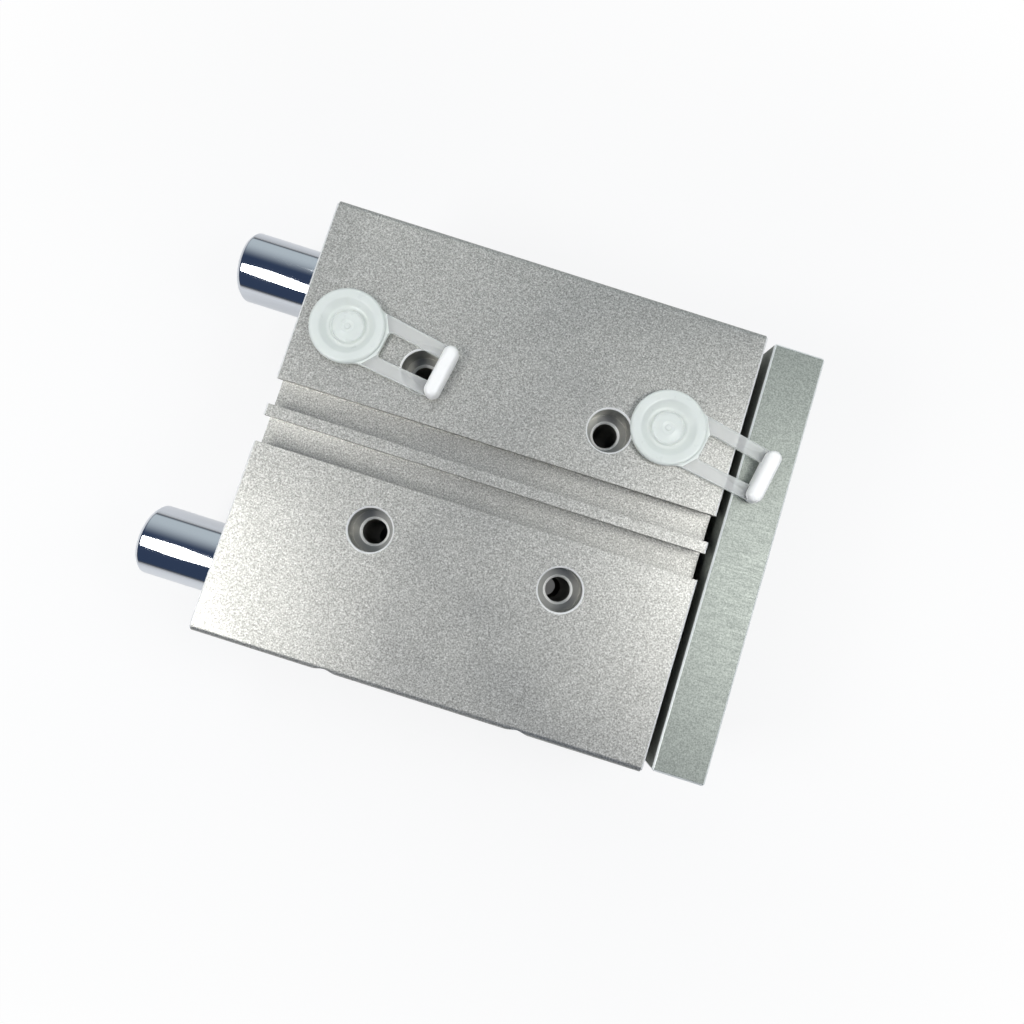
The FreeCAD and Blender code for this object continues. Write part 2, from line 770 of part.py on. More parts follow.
def build_yoke_plate():
    """The steel plate that joins the piston rod and both guide rods and carries the load."""
    plate = Piece("yoke_plate")
    corners = rectangle("-plate_width / 2", "-plate_height / 2", "plate_width / 2", "plate_height / 2")
    block = plate.pad("block", plate.outline("section", "YZ_Plane", corners), "plate_thickness")
    plate.dress("PartDesign::Chamfer", "edges", block, lambda edge: True, "Size", "plate_chamfer")
    guide = screw_pocket(
        "guide_head_diameter", "guide_head_height", "guide_screw_diameter", "rod_spigot_diameter"
    )
    for side in (LEFT, RIGHT):
        at = ("0", f"{side} * rod_spacing / 2", "0")
        plate.bored(f"guide_rod_seat_{SIDE_NAMES[side]}", guide, at=at)
    centre = screw_pocket(
        "piston_head_diameter", "piston_head_height", "piston_screw_diameter", "piston_rod_diameter"
    )
    plate.bored("piston_rod_seat", centre)
    core = "load_core_diameter / 2"
    hole = (
        ("-cut_overrun", "0"),
        ("-cut_overrun", f"{core} + load_countersink + cut_overrun"),
        ("load_countersink", core),
        ("plate_thickness - load_countersink", core),
        ("plate_thickness + cut_overrun", f"{core} + load_countersink + cut_overrun"),
        ("plate_thickness + cut_overrun", "0"),
    )
    first = plate.bored("load_hole", hole, at=("0", "-load_spacing_y / 2", "-load_spacing_z / 2"))
    grid = plate.body.newObject("PartDesign::LinearPattern", "load_holes")
    grid.Originals = [first]
    grid.Direction = (plate.datum("Y_Axis"), [""])
    grid.Direction2 = (plate.datum("Z_Axis"), [""])
    grid.Occurrences = 2
    grid.Occurrences2 = 2
    plate.tie(grid, {"Length": "load_spacing_y", "Length2": "load_spacing_z"})
    plate.body.Tip = grid
    plate.place("plate_back_at", up="axis_height")


def build_guide_rod(side):
    """One guide rod, with a spigot and a tapped end in the yoke plate."""
    rod = Piece(f"guide_rod_{SIDE_NAMES[side]}")
    radius = "guide_rod_diameter / 2"
    shoulder = "(guide_rod_tail + plate_back_at)"
    end = f"({shoulder} + plate_recess)"
    tapped = "guide_screw_diameter / 2 + static_clearance"
    grip = "(plate_thickness - plate_recess - head_sink - guide_head_height)"
    floor = f"({end} + {grip} - guide_screw_length - screw_tip_room)"
    points = (
        ("0", "0"),
        ("0", f"{radius} - guide_rod_chamfer"),
        ("guide_rod_chamfer", radius),
        (shoulder, radius),
        (shoulder, "rod_spigot_diameter / 2"),
        (end, "rod_spigot_diameter / 2"),
        (end, tapped),
        (floor, tapped),
        (f"{floor} - {tapped} / sqrt(3)", "0"),
    )
    rod.turned("rod", points)
    rod.place("-guide_rod_tail", f"{side} * rod_spacing / 2", "axis_height")


def build_cap_screw(name, prefix, across):
    """A low-headed socket screw, drawn from under its head, that holds a rod to the yoke plate."""
    screw = Piece(name)
    head = f"{prefix}_head_diameter / 2"
    height = f"{prefix}_head_height"
    shank = f"{prefix}_screw_diameter / 2"
    length = f"{prefix}_screw_length"
    points = (
        (f"-{length}", "0"),
        (f"-{length}", f"{shank} - head_chamfer"),
        (f"head_chamfer - {length}", shank),
        ("0", shank),
        ("0", head),
        (f"{height} - head_chamfer", head),
        (height, f"{head} - head_chamfer"),
        (height, "0"),
    )
    screw.turned("blank", points)
    at = (f"{height} * (1 - hex_depth_share)", "0", "0")
    socket = screw.outline("socket_section", "YZ_Plane", hexagon(f"{prefix}_hex_key"), at)
    screw.pocket("socket", socket, height)
    screw.place(f"plate_front_at - head_sink - {height}", across, "axis_height")


def build_piston_rod():
    """The piston rod: a spigot through the piston at the rear, a tapped end at the front."""
    rod = Piece("piston_rod")
    tip = "pad_thickness"
    shoulder = "piston_front"
    end = "(plate_back_at - piston_back_at + plate_recess)"
    tapped = "piston_screw_diameter / 2 + static_clearance"
    grip = "(plate_thickness - plate_recess - head_sink - piston_head_height)"
    floor = f"({end} + {grip} - piston_screw_length - screw_tip_room)"
    spigot = "(piston_spigot_diameter / 2)"
    points = (
        (tip, "0"),
        (tip, f"{spigot} - piston_rod_chamfer"),
        (f"{tip} + piston_rod_chamfer", spigot),
        (shoulder, spigot),
        (shoulder, "rod_radius"),
        (f"{end} - piston_rod_chamfer", "rod_radius"),
        (end, "rod_radius - piston_rod_chamfer"),
        (end, tapped),
        (floor, tapped),
        (f"{floor} - {tapped} / sqrt(3)", "0"),
    )
    rod.turned("rod", points)
    rod.place("piston_back_at", up="axis_height")


def build_piston():
    """The piston body, with grooves for its seals, guide ring and magnet and a pocket for the nut."""
    piston = Piece("piston")
    outside = [
        ("pad_thickness", "spigot_diameter / 2"),
        ("land_at", "spigot_diameter / 2"),
        ("land_at", "land_radius"),
    ]
    grooves = (
        ("rear_seal_at", "seal_width", "seal_depth"),
        ("guide_ring_at", "guide_ring_width", "guide_ring_depth"),
        ("magnet_at", "magnet_width", "magnet_depth"),
        ("front_seal_at", "seal_width", "seal_depth"),
    )
    for start, width, depth in grooves:
        outside += [
            (start, "land_radius"),
            (start, f"land_radius - {depth}"),
            (f"{start} + {width}", f"land_radius - {depth}"),
            (f"{start} + {width}", "land_radius"),
        ]
    outside += [
        ("land_end", "land_radius"),
        ("land_end", "spigot_diameter / 2"),
        ("piston_front", "spigot_diameter / 2"),
    ]
    hole = "piston_hole_radius"
    nut = "nut_radius + nut_side_clearance"
    half = "(rod_oring_section / 2 + oring_side_room)"
    inside = [
        ("piston_front", hole),
        (f"rod_oring_at + {half}", hole),
        (f"rod_oring_at + {half}", f"{hole} + rod_oring_section + static_clearance"),
        (f"rod_oring_at - {half}", f"{hole} + rod_oring_section + static_clearance"),
        (f"rod_oring_at - {half}", hole),
        ("nut_seat", hole),
        ("nut_seat", nut),
        ("pad_thickness", nut),
    ]
    piston.turned("piston", outside + inside)
    piston.place("piston_back_at", up="axis_height")


def build_piston_seal(name, start, notch_first):
    """A piston lip seal, notched on the side that faces the pressure."""
    seal = Piece(name)
    outer = "(bore_radius - running_clearance)"
    inner = "(land_radius - seal_depth + static_clearance)"
    middle = f"({outer} + {inner}) / 2"
    notched = (("0", f"{middle} + seal_notch"), ("seal_notch", middle), ("0", f"{middle} - seal_notch"))
    width = "(seal_width - static_clearance)"
    steps = (("0", inner), (width, inner), (width, outer), ("0", outer)) + notched
    if not notch_first:
        steps = tuple((f"{width} - {depth}", radius) for depth, radius in steps)
    seal.turned("ring", steps)
    seal.place(f"piston_back_at + {start}", up="axis_height")


def build_piston_parts():
    """What rides on the piston: seals, guide ring, magnet, cushion pads and the nut."""
    build_piston_seal("piston_seal_rear", "rear_seal_at", notch_first=True)
    build_piston_seal("piston_seal_front", "front_seal_at", notch_first=False)
    ring_of(
        "piston_guide_ring",
        "0",
        "guide_ring_width - static_clearance",
        "land_radius - guide_ring_depth + static_clearance",
        "bore_radius - running_clearance",
        "piston_back_at + guide_ring_at",
    )
    ring_of(
        "piston_magnet",
        "0",
        "magnet_width - static_clearance",
        "land_radius - magnet_depth + static_clearance",
        "land_radius - static_clearance",
        "piston_back_at + magnet_at",
    )
    pads = {"rear": "piston_back_at", "front": "piston_back_at + piston_front"}
    for end, along in pads.items():
        inner = "pad_inner_diameter / 2"
        outer = "spigot_diameter / 2"
        ring_of(f"cushion_pad_{end}", "0", "pad_thickness", inner, outer, along)
    centre = "piston_hole_radius + rod_oring_section / 2"
    build_oring("rod_oring", "piston_back_at + rod_oring_at", centre, "rod_oring_section")
    nut = Piece("piston_nut")
    nut.pad("block", nut.outline("hexagon", "YZ_Plane", hexagon("nut_across_flats")), "nut_thickness")
    bore = (("0", "0", "piston_hole_radius"),)
    nut.pocket("bore", nut.circles("bore_section", "YZ_Plane", bore))
    nut.place("piston_back_at + pad_thickness + rod_tip_length", up="axis_height")


def cap_profile():
    """Half section of a cap's disc and hollow peg: radius from the axis, height over the face."""
    dish = "(cap_height - cap_dish_depth)"
    ring = "(cap_ring_diameter / 2)"
    pip = "(cap_pip_diameter / 2)"
    hollow = "(cap_peg_radius - cap_peg_wall)"
    return (
        ("0", f"{dish} + cap_ring_height / 2"),
        (pip, f"{dish} + cap_ring_height / 2"),
        (f"{pip} + cap_ring_height / 2", dish),
        (f"{ring} - cap_ring_width", dish),
        (ring, f"{dish} + cap_ring_height"),
        (f"{ring} + cap_ring_width", dish),
        ("cap_dish_diameter / 2", dish),
        (f"cap_radius - cap_rim_width", "cap_height - cap_rim_round"),
        (f"cap_radius - cap_rim_width + cap_rim_round", "cap_height"),
        (f"cap_radius - cap_rim_round", "cap_height"),
        ("cap_radius", "cap_height - cap_rim_round"),
        ("cap_radius", "cap_rim_base"),
        ("cap_radius - cap_rim_base", "0"),
        ("cap_peg_radius", "0"),
        ("cap_peg_radius", "-cap_peg_length / 2"),
        ("cap_peg_radius - cap_peg_taper", "-cap_peg_length"),
        (f"{hollow} - cap_peg_taper", "-cap_peg_length"),
        (hollow, f"{dish} - cap_floor"),
        ("0", f"{dish} - cap_floor"),
    )


def cut_strap_window(cap):
    """The flat web that flares into the disc, cut into two straps by a window with round corners."""
    level = ("0", "0", "strap_lift")
    start = "(cap_radius + window_gap)"
    end = "(pull_reach - pull_thickness / 2)"
    web = (
        ("strap_root", "-strap_root_half"),
        ("strap_root + strap_flare", "-strap_span / 2"),
        ("pull_reach", "-strap_tip_half"),
        ("pull_reach", "strap_tip_half"),
        ("strap_root + strap_flare", "strap_span / 2"),
        ("strap_root", "strap_root_half"),
    )
    cap.pad("web", cap.outline("web_outline", "XY_Plane", web, level), "strap_thickness")
    window = (
        (start, "strap_width - strap_span / 2"),
        (end, "strap_width - strap_tip_half"),
        (end, "strap_tip_half - strap_width"),
        (start, "strap_span / 2 - strap_width"),
    )
    body = cap.pocket("window", cap.outline("window_outline", "XY_Plane", window, level))

    def beside_disc(edge):
        box = edge.BoundBox
        upright = box.ZLength > number("strap_thickness") / 2
        return upright and abs(box.XMin - number(start)) < 1e-6 and box.XLength < 1e-6

    cap.dress("PartDesign::Fillet", "window_corners", body, beside_disc, "Radius", "window_round")


def build_port_cap(end, along, turn):
    """One pull-off cap: a dished disc on a hollow peg, two straps and an upright pull bar."""
    cap = Piece(f"port_cap_{end}")
    cap.turned("disc_and_peg", cap_profile(), "XZ_Plane", "V_Axis")
    cut_strap_window(cap)
    half = "pull_width / 2"
    bar = "pull_thickness / 2"
    at = ("pull_reach", "0", "strap_lift")
    middle = rectangle(f"-{bar}", f"{bar} - {half}", bar, f"{half} - {bar}")
    body = cap.pad("pull_bar", cap.outline("pull_bar_outline", "XY_Plane", middle, at), "pull_height")
    ends = [("0", f"{side} * ({half} - {bar})", bar) for side in (LEFT, RIGHT)]
    for index, round_end in enumerate(ends, start=1):
        outline = cap.circles(f"pull_end_{index}_outline", "XY_Plane", (round_end,), at)
        body = cap.pad(f"pull_end_{index}", outline, "pull_height")
    top = number("strap_lift + pull_height")

    def on_top(edge):
        box = edge.BoundBox
        return box.ZMin > top - 1e-6 and box.XMin > number("cap_radius")

    cap.dress("PartDesign::Fillet", "pull_bar_edge", body, on_top, "Radius", "pull_round")
    cap.place(along, "port_offset", "housing_height", turn)


def check_document():
    """Stop unless every feature worked, every cut removed material and every piece is one solid."""
    for item in DOC.Objects:
        if "Invalid" in item.State or "Error" in item.State:
            raise RuntimeError(f"{item.Label} failed: {item.State}")
    for body in DOC.findObjects("PartDesign::Body"):
        if body.Shape.isNull() or not body.Shape.isValid():
            raise RuntimeError(f"{body.Label} has no valid shape")
        if len(body.Shape.Solids) != 1:
            raise RuntimeError(f"{body.Label} is {len(body.Shape.Solids)} solids")
        volume = 0.0
        for feature in body.Group:
            if not feature.isDerivedFrom("PartDesign::Feature"):
                continue
            cuts = feature.isDerivedFrom("PartDesign::Pocket") or feature.isDerivedFrom("PartDesign::Groove")
            if cuts and feature.Shape.Volume > volume - 1e-6:
                raise RuntimeError(f"{body.Label}: {feature.Label} cuts nothing")
            volume = feature.Shape.Volume


def build():
    """Build every piece of the cylinder."""
    fill_sheet()
    build_housing()
    build_closures()
    for side in (LEFT, RIGHT):
        for end in ("rear", "front"):
            build_guide_bush(side, end)
        build_guide_wiper(side)
        build_guide_rod(side)
        build_cap_screw(f"guide_rod_screw_{SIDE_NAMES[side]}", "guide", f"{side} * rod_spacing / 2")
    build_yoke_plate()
    build_cap_screw("piston_rod_screw", "piston", "0")
    build_piston_rod()
    build_piston()
    build_piston_parts()
    turns = {"rear": "cap_rear_turn", "front": "cap_front_turn"}
    for end, along in port_positions().items():
        build_port_cap(end, along, turns[end])
    DOC.recompute()


def export():
    """Write each piece to its own STEP file, named after the piece."""
    os.makedirs("parts", exist_ok=True)
    for body in DOC.findObjects("PartDesign::Body"):
        body.Shape.exportStep(f"parts/{body.Label}.step")


build()
check_document()
export()
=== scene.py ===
"""Guided pneumatic cylinder: finishes, turned and moulded pieces, threads, studio and camera.

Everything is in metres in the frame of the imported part: +X is the stroke, +Y the side of the air
ports, +Z the front face with the sensor slots.  Sizes are written in millimetres in the dataclass
fields and turned into metres by MM where a mesh is made.
"""

import logging
import math
from collections.abc import Callable, Sequence
from dataclasses import dataclass, field
from enum import Enum, IntEnum

import bmesh
import bpy
from mathutils import Matrix, Vector


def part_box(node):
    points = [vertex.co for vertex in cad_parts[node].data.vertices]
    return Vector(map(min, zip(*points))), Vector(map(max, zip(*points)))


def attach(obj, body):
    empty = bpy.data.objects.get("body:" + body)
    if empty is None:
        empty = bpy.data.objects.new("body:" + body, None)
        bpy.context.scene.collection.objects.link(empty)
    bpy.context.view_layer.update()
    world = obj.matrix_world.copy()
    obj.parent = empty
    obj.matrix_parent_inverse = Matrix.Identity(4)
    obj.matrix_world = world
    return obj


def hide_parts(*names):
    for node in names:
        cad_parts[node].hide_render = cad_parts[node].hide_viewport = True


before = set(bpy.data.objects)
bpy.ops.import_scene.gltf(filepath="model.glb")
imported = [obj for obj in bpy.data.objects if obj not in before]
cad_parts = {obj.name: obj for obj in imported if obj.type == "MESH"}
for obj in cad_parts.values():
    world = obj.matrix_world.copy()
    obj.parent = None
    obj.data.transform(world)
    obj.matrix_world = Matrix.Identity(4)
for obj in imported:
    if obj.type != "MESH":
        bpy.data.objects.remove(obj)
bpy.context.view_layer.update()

MM = 0.001
# A turn past this many degrees is a sharp edge, and a smaller one is shaded round: on machined pieces,
# on threads and knurls, on the moulded caps, and where the caps' straps get their soft edges.
SHARP, SHARP_RIDGE, SHARP_MOULDED, SHARP_STRAP = 32.0, 35.0, 40.0, 50.0
# Points closer than this, in metres, are one point.
WELD = 1e-7
# Sockets of a Mix node set to colour: its two colours, and its result.
MIX_FIRST, MIX_SECOND, MIX_RESULT = 6, 7, 2
LOG = logging.getLogger("guided_cylinder")

Point = tuple[float, float]
Place = tuple[float, float, float]
Socket = bpy.types.NodeSocket
Node = bpy.types.Node
Tree = bpy.types.NodeTree
Object = bpy.types.Object
Material = bpy.types.Material


class Body(Enum):
    """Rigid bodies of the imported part."""

    CYLINDER = "cylinder_body"
    YOKE = "yoke"
    REAR_CAP = "rear_cap"
    FRONT_CAP = "front_cap"


class Side(Enum):
    """Which side of the stroke axis a piece is on, as a sign along Y."""

    LEFT = 1
    RIGHT = -1


class BlockSkin(IntEnum):
    """Finishes of the block's faces, in the order of its material slots."""

    BLASTED = 0
    MILLED = 1
    BORED = 2
    # chamfers and broken edges, painted near white as a highlight
    EDGE_HIGHLIGHT = 3


class CapSection(IntEnum):
    """Sections of a moulded cap, in the order of its material slots."""

    DISC = 0
    WEB = 1
    BAR = 2


# ------------------------------------------------------------------------------------- helpers


def linear(code: str) -> tuple[float, float, float, float]:
    """Turn an sRGB hex colour into linear light.

    Args:
        code: six hex digits, such as "a0a4a8".

    Returns:
        Red, green, blue and alpha for a colour socket.
    """
    parts = [int(code[i : i + 2], 16) / 255 for i in (0, 2, 4)]
    light = [c / 12.92 if c <= 0.04045 else ((c + 0.055) / 1.055) ** 2.4 for c in parts]
    return (*light, 1.0)


def add(tree: Tree, kind: str, inputs: dict | None = None, **settings: object) -> Node:
    """Add a node with its settings, values and links.

    Args:
        tree: the tree that gets the node.
        kind: the node's type, such as "ShaderNodeTexNoise".
        inputs: socket name or index to a value, or to the output socket that feeds it.
        settings: properties of the node itself.

    Returns:
        The new node.
    """
    node = tree.nodes.new(kind)
    for name, value in settings.items():
        setattr(node, name, value)
    for key, value in (inputs or {}).items():
        if isinstance(value, bpy.types.NodeSocket):
            tree.links.new(value, node.inputs[key])
        else:
            node.inputs[key].default_value = value
    return node


def with_stops(ramp: Node, stops: Sequence[tuple[float, str]]) -> Socket:
    """Give a colour ramp its stops.

    Args:
        ramp: the ramp's node.
        stops: factor and sRGB hex colour there, the lowest and the highest first.

    Returns:
        The colour's socket.
    """
    elements = ramp.color_ramp.elements
    for index, (position, code) in enumerate(stops):
        stop = elements[index] if index < 2 else elements.new(position)
        stop.position = position
        stop.color = linear(code)
    return ramp.outputs["Color"]


def box_mm(node: str) -> tuple[Vector, Vector]:
    """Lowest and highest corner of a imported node, in millimetres."""
    low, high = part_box(node)
    return Vector(low) / MM, Vector(high) / MM


def new_object(name: str, mesh: bpy.types.Mesh) -> Object:
    """Put a mesh into the scene as an object at the origin.

    Args:
        name: its name.
        mesh: its mesh.

    Returns:
        The new object.
    """
    piece = bpy.data.objects.new(name, mesh)
    bpy.context.scene.collection.objects.link(piece)
    return piece


def shade(piece: Object, angle: float) -> Object:
    """Shade an object smooth between sharp edges, with its large flat faces kept flat to their rims.

    Args:
        piece: the object; it gets a plain new mesh.
        angle: the turn in degrees past which an edge is sharp.

    Returns:
        The same object.
    """
    piece.data.shade_smooth()
    piece.data.set_sharp_from_angle(angle=math.radians(angle))
    weigh = piece.modifiers.new("flat faces first", "WEIGHTED_NORMAL")
    weigh.mode = "FACE_AREA"
    weigh.weight = 100
    weigh.keep_sharp = True
    return with_modifiers(piece)


def from_bmesh(name: str, work: bmesh.types.BMesh) -> Object:
    """Close a working mesh into an object with its faces pointing outwards.

    Args:
        name: the piece's name.
        work: the mesh; it is freed.

    Returns:
        The new object.
    """
    bmesh.ops.remove_doubles(work, verts=work.verts, dist=WELD)
    bmesh.ops.recalc_face_normals(work, faces=work.faces)
    mesh = bpy.data.meshes.new(name)
    work.to_mesh(mesh)
    work.free()
    return shade(new_object(name, mesh), SHARP)


def spun(section: Sequence[Place], closed: bool, axis: Place, steps: int) -> bmesh.types.BMesh:
    """Spin a section about an axis through the origin.

    Args:
        section: the section's points in millimetres.
        closed: whether its last point joins its first.
        axis: the axis's direction.
        steps: faces around it.

    Returns:
        The working mesh.
    """
    work = bmesh.new()
    verts = [work.verts.new([part * MM for part in place]) for place in section]
    ends = verts[1:] + verts[:1] if closed else verts[1:]
    edges = [work.edges.new(pair) for pair in zip(verts, ends)]
    centre = (0.0, 0.0, 0.0)
    bmesh.ops.spin(
        work, geom=verts + edges, axis=axis, cent=centre, steps=steps, angle=math.tau, use_merge=True
    )
    return work


def soften(piece: Object, width: float, limit: float) -> Object:
    """Break an object's sharp edges with a narrow round.

    Args:
        piece: the object; it gets a plain new mesh.
        width: how far the round reaches from the edge, in millimetres.
        limit: the turn in degrees past which an edge is sharp.

    Returns:
        The same object.
    """
    bevel = piece.modifiers.new("broken edges", "BEVEL")
    bevel.width = width * MM
    bevel.segments = 2
    bevel.limit_method = "ANGLE"
    bevel.angle_limit = math.radians(limit)
    bevel.use_clamp_overlap = True
    return with_modifiers(piece)


def loft(work: bmesh.types.BMesh, rings: Sequence[Sequence[Place]]) -> None:
    """Close a skin over rings of points, with a face on the first and on the last ring.

    Args:
        work: the mesh that gets it.
        rings: the rings, each with as many points, in millimetres.
    """
    loops = [[work.verts.new(Vector(place) * MM) for place in ring] for ring in rings]
    work.faces.new(loops[0])
    work.faces.new(loops[-1])
    for lower, upper in zip(loops, loops[1:]):
        for index in range(len(lower)):
            after = (index + 1) % len(lower)
            work.faces.new((lower[index], lower[after], upper[after], upper[index]))


def refined(node: str, name: str, ease: float = 0.0) -> Object:
    """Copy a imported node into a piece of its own, with its faces joined and smoothly shaded.

    Args:
        node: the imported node.
        name: the new piece's name.
        ease: width in millimetres of the round on its sharp edges, or 0 for none.

    Returns:
        The new object.
    """
    # Turns in degrees: below the first, faces join into one, and past the second, an edge is eased.
    flat, sharp = 0.5, 28.0
    work = bmesh.new()
    work.from_mesh(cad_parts[node].data)
    bmesh.ops.remove_doubles(work, verts=work.verts, dist=2 * WELD)
    if ease:
        bmesh.ops.dissolve_limit(work, angle_limit=math.radians(flat), verts=work.verts, edges=work.edges)
    mesh = bpy.data.meshes.new(name)
    work.to_mesh(mesh)
    work.free()
    mesh.materials.clear()
    piece = new_object(name, mesh)
    if ease:
        soften(piece, ease, sharp)
    return shade(piece, SHARP)


def with_modifiers(piece: Object) -> Object:
    """Turn an object and its live modifiers into a plain mesh.

    Args:
        piece: the object; it gets a plain new mesh.

    Returns:
        The same object.
    """
    graph = bpy.context.evaluated_depsgraph_get()
    mesh = bpy.data.meshes.new_from_object(piece.evaluated_get(graph))
    piece.modifiers.clear()
    piece.data = mesh
    return piece


def publish(piece: Object, body: Body, replaces: Sequence[str] = ()) -> None:
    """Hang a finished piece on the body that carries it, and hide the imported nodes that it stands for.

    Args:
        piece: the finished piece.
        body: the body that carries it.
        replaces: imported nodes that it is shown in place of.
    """
    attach(piece, body.value)
    if replaces:
        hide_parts(*replaces)
    LOG.info("%s rides on %s, %d faces", piece.name, body.value, len(piece.data.polygons))


# ------------------------------------------------------------------------------------ finishes


@dataclass(frozen=True)
class Finish:
    """A surface: its name, its shader's constants and how its pattern is wired.

    Attributes:
        name: common name and how the surface was made.
        colour: sRGB hex of the plain surface.
        metallic: 1 for bare metal, 0 for the rest.
        roughness: mean roughness of the shader.
    """

    name: str
    colour: str
    metallic: float = 0.0
    roughness: float = 0.5

    def material(self) -> Material:
        """Return the finish's material, made once.

        Returns:
            The material.
        """
        found = bpy.data.materials.get(self.name)
        if found:
            return found
        made = bpy.data.materials.new(self.name)
        made.use_nodes = True
        made.diffuse_color = linear(self.colour)
        tree = made.node_tree
        tree.nodes.clear()
        constants = {
            "Base Color": linear(self.colour),
            "Metallic": self.metallic,
            "Roughness": self.roughness,
        }
        shader = add(tree, "ShaderNodeBsdfPrincipled", constants)
        add(tree, "ShaderNodeOutputMaterial", {"Surface": shader.outputs["BSDF"]})
        place = add(tree, "ShaderNodeTexCoord").outputs["Object"]
        self.wire(tree, shader, place)
        return made

    def wire(self, tree: Tree, shader: Node, place: Socket) -> None:
        """Link the finish's pattern to its shader; a plain finish gets faint mottling.

        Args:
            tree: the material's tree.
            shader: its principled shader.
            place: the object coordinates.
        """
        mottle = add(tree, "ShaderNodeTexNoise", {"Vector": place, "Scale": 1 / (2.5 * MM), "Detail": 3.0})
        self.vary_roughness(tree, shader, mottle.outputs["Fac"], 0.12)

    def vary_roughness(self, tree: Tree, shader: Node, factor: Socket, share: float) -> None:
        """Let roughness follow a pattern, by a share of itself up and down.

        Args:
            tree: the material's tree.
            shader: its principled shader.
            factor: the pattern.
            share: the share.
        """
        limits = {
            "Value": factor,
            "From Min": 0.3,
            "From Max": 0.7,
            "To Min": self.roughness * (1 - share),
            "To Max": self.roughness * (1 + share),
        }
        spread = add(tree, "ShaderNodeMapRange", limits)
        tree.links.new(spread.outputs["Result"], shader.inputs["Roughness"])

    def vary_colour(
        self, tree: Tree, shader: Node, factor: Socket, stops: Sequence[tuple[float, str]]
    ) -> None:
        """Let colour follow a pattern through a ramp of sRGB hex stops.

        Args:
            tree: the material's tree.
            shader: its principled shader.
            factor: the pattern.
            stops: its values and the colours there.
        """
        ramp = add(tree, "ShaderNodeValToRGB", {"Fac": factor})
        tree.links.new(with_stops(ramp, stops), shader.inputs["Base Color"])

    def emboss(self, tree: Tree, shader: Node, height: Socket, depth: float, strength: float) -> None:
        """Raise the surface by a pattern, by a depth in millimetres.

        Args:
            tree: the material's tree.
            shader: its principled shader.
            height: the pattern.
            depth: the depth.
            strength: share of the bump that is shown.
        """
        inputs = {"Height": height, "Distance": depth * MM, "Strength": strength}
        bump = add(tree, "ShaderNodeBump", inputs)
        tree.links.new(bump.outputs["Normal"], shader.inputs["Normal"])


@dataclass(frozen=True)
class BlastedAnodising(Finish):
    """Aluminium, bead blasted and then clear anodised: a fine, even grain without direction, with painted
    sparkle in its colour.

    Attributes:
        grit: size of a blasted dimple; real beads leave 0.1 to 0.2 mm, drawn coarser so that it shows.
        dark: sRGB hex of the grain's dark spots, partly random tone, partly painted shade in the dimples'
            floors.
        light: sRGB hex of its light spots, partly random tone, partly painted sparkle on their rims.
    """

    grit: float = 0.33
    dark: str = "83827d"
    light: str = "e6e5df"

    def wire(self, tree: Tree, shader: Node, place: Socket) -> None:
        """Speckle in the colour, partly painted shade and sparkle of the dimples, a broad cloud for the
        anodising and a light bump.

        Args:
            tree, shader, place: as in Finish.wire.
        """
        grain_and_painted_sparkle = add(
            tree,
            "ShaderNodeTexNoise",
            {"Vector": place, "Scale": 1 / (self.grit * MM), "Detail": 4.0, "Roughness": 0.75},
        )
        # Dark spots are partly painted shade in the dimples, light spots partly painted sparkle on their
        # rims.
        stops = ((0.32, self.dark), (0.66, self.light), (0.5, self.colour))
        self.vary_colour(tree, shader, grain_and_painted_sparkle.outputs["Fac"], stops)
        cloud = add(tree, "ShaderNodeTexNoise", {"Vector": place, "Scale": 1 / (14 * MM), "Detail": 2.0})
        self.vary_roughness(tree, shader, cloud.outputs["Fac"], 0.08)
        self.emboss(tree, shader, grain_and_painted_sparkle.outputs["Fac"], 0.02, 0.55)


@dataclass(frozen=True)
class TurnedMetal(Finish):
    """Metal cut by a tool that turned about an axis along X: fine rings.

    Attributes:
        axis: place of that axis across the stroke, as Y and Z in millimetres.
        feed: distance from one tool mark to the next; real feeds of 0.1 mm are drawn coarser.
        marks: depth of a mark in millimetres.
    """

    axis: Point = (0.0, 21.0)
    feed: float = 0.3
    marks: float = 0.0015

    def wire(self, tree: Tree, shader: Node, place: Socket) -> None:
        """Rings on faces across the axis and bands on faces along it, from one spiral phase.

        Args:
            tree, shader, place: as in Finish.wire.
        """
        back = (0.0, *(-part * MM for part in self.axis))
        local = add(tree, "ShaderNodeMapping", {"Vector": place, "Location": back}, vector_type="POINT")
        split = add(tree, "ShaderNodeSeparateXYZ", {"Vector": local.outputs["Vector"]}).outputs
        flat = add(tree, "ShaderNodeCombineXYZ", {"X": split["Y"], "Y": split["Z"]}).outputs["Vector"]
        radius = add(tree, "ShaderNodeVectorMath", {0: flat}, operation="LENGTH").outputs["Value"]
        run = add(tree, "ShaderNodeMath", {0: radius, 1: split["X"]}, operation="ADD").outputs[0]
        turns = math.tau / (self.feed * MM)
        phase = add(tree, "ShaderNodeMath", {0: run, 1: turns}, operation="MULTIPLY").outputs[0]
        wave = add(tree, "ShaderNodeMath", {0: phase}, operation="SINE")
        patch = add(tree, "ShaderNodeTexNoise", {"Vector": place, "Scale": 1 / (1.6 * MM), "Detail": 2.0})
        self.vary_roughness(tree, shader, patch.outputs["Fac"], 0.18)
        self.emboss(tree, shader, wave.outputs[0], self.marks, 0.5)


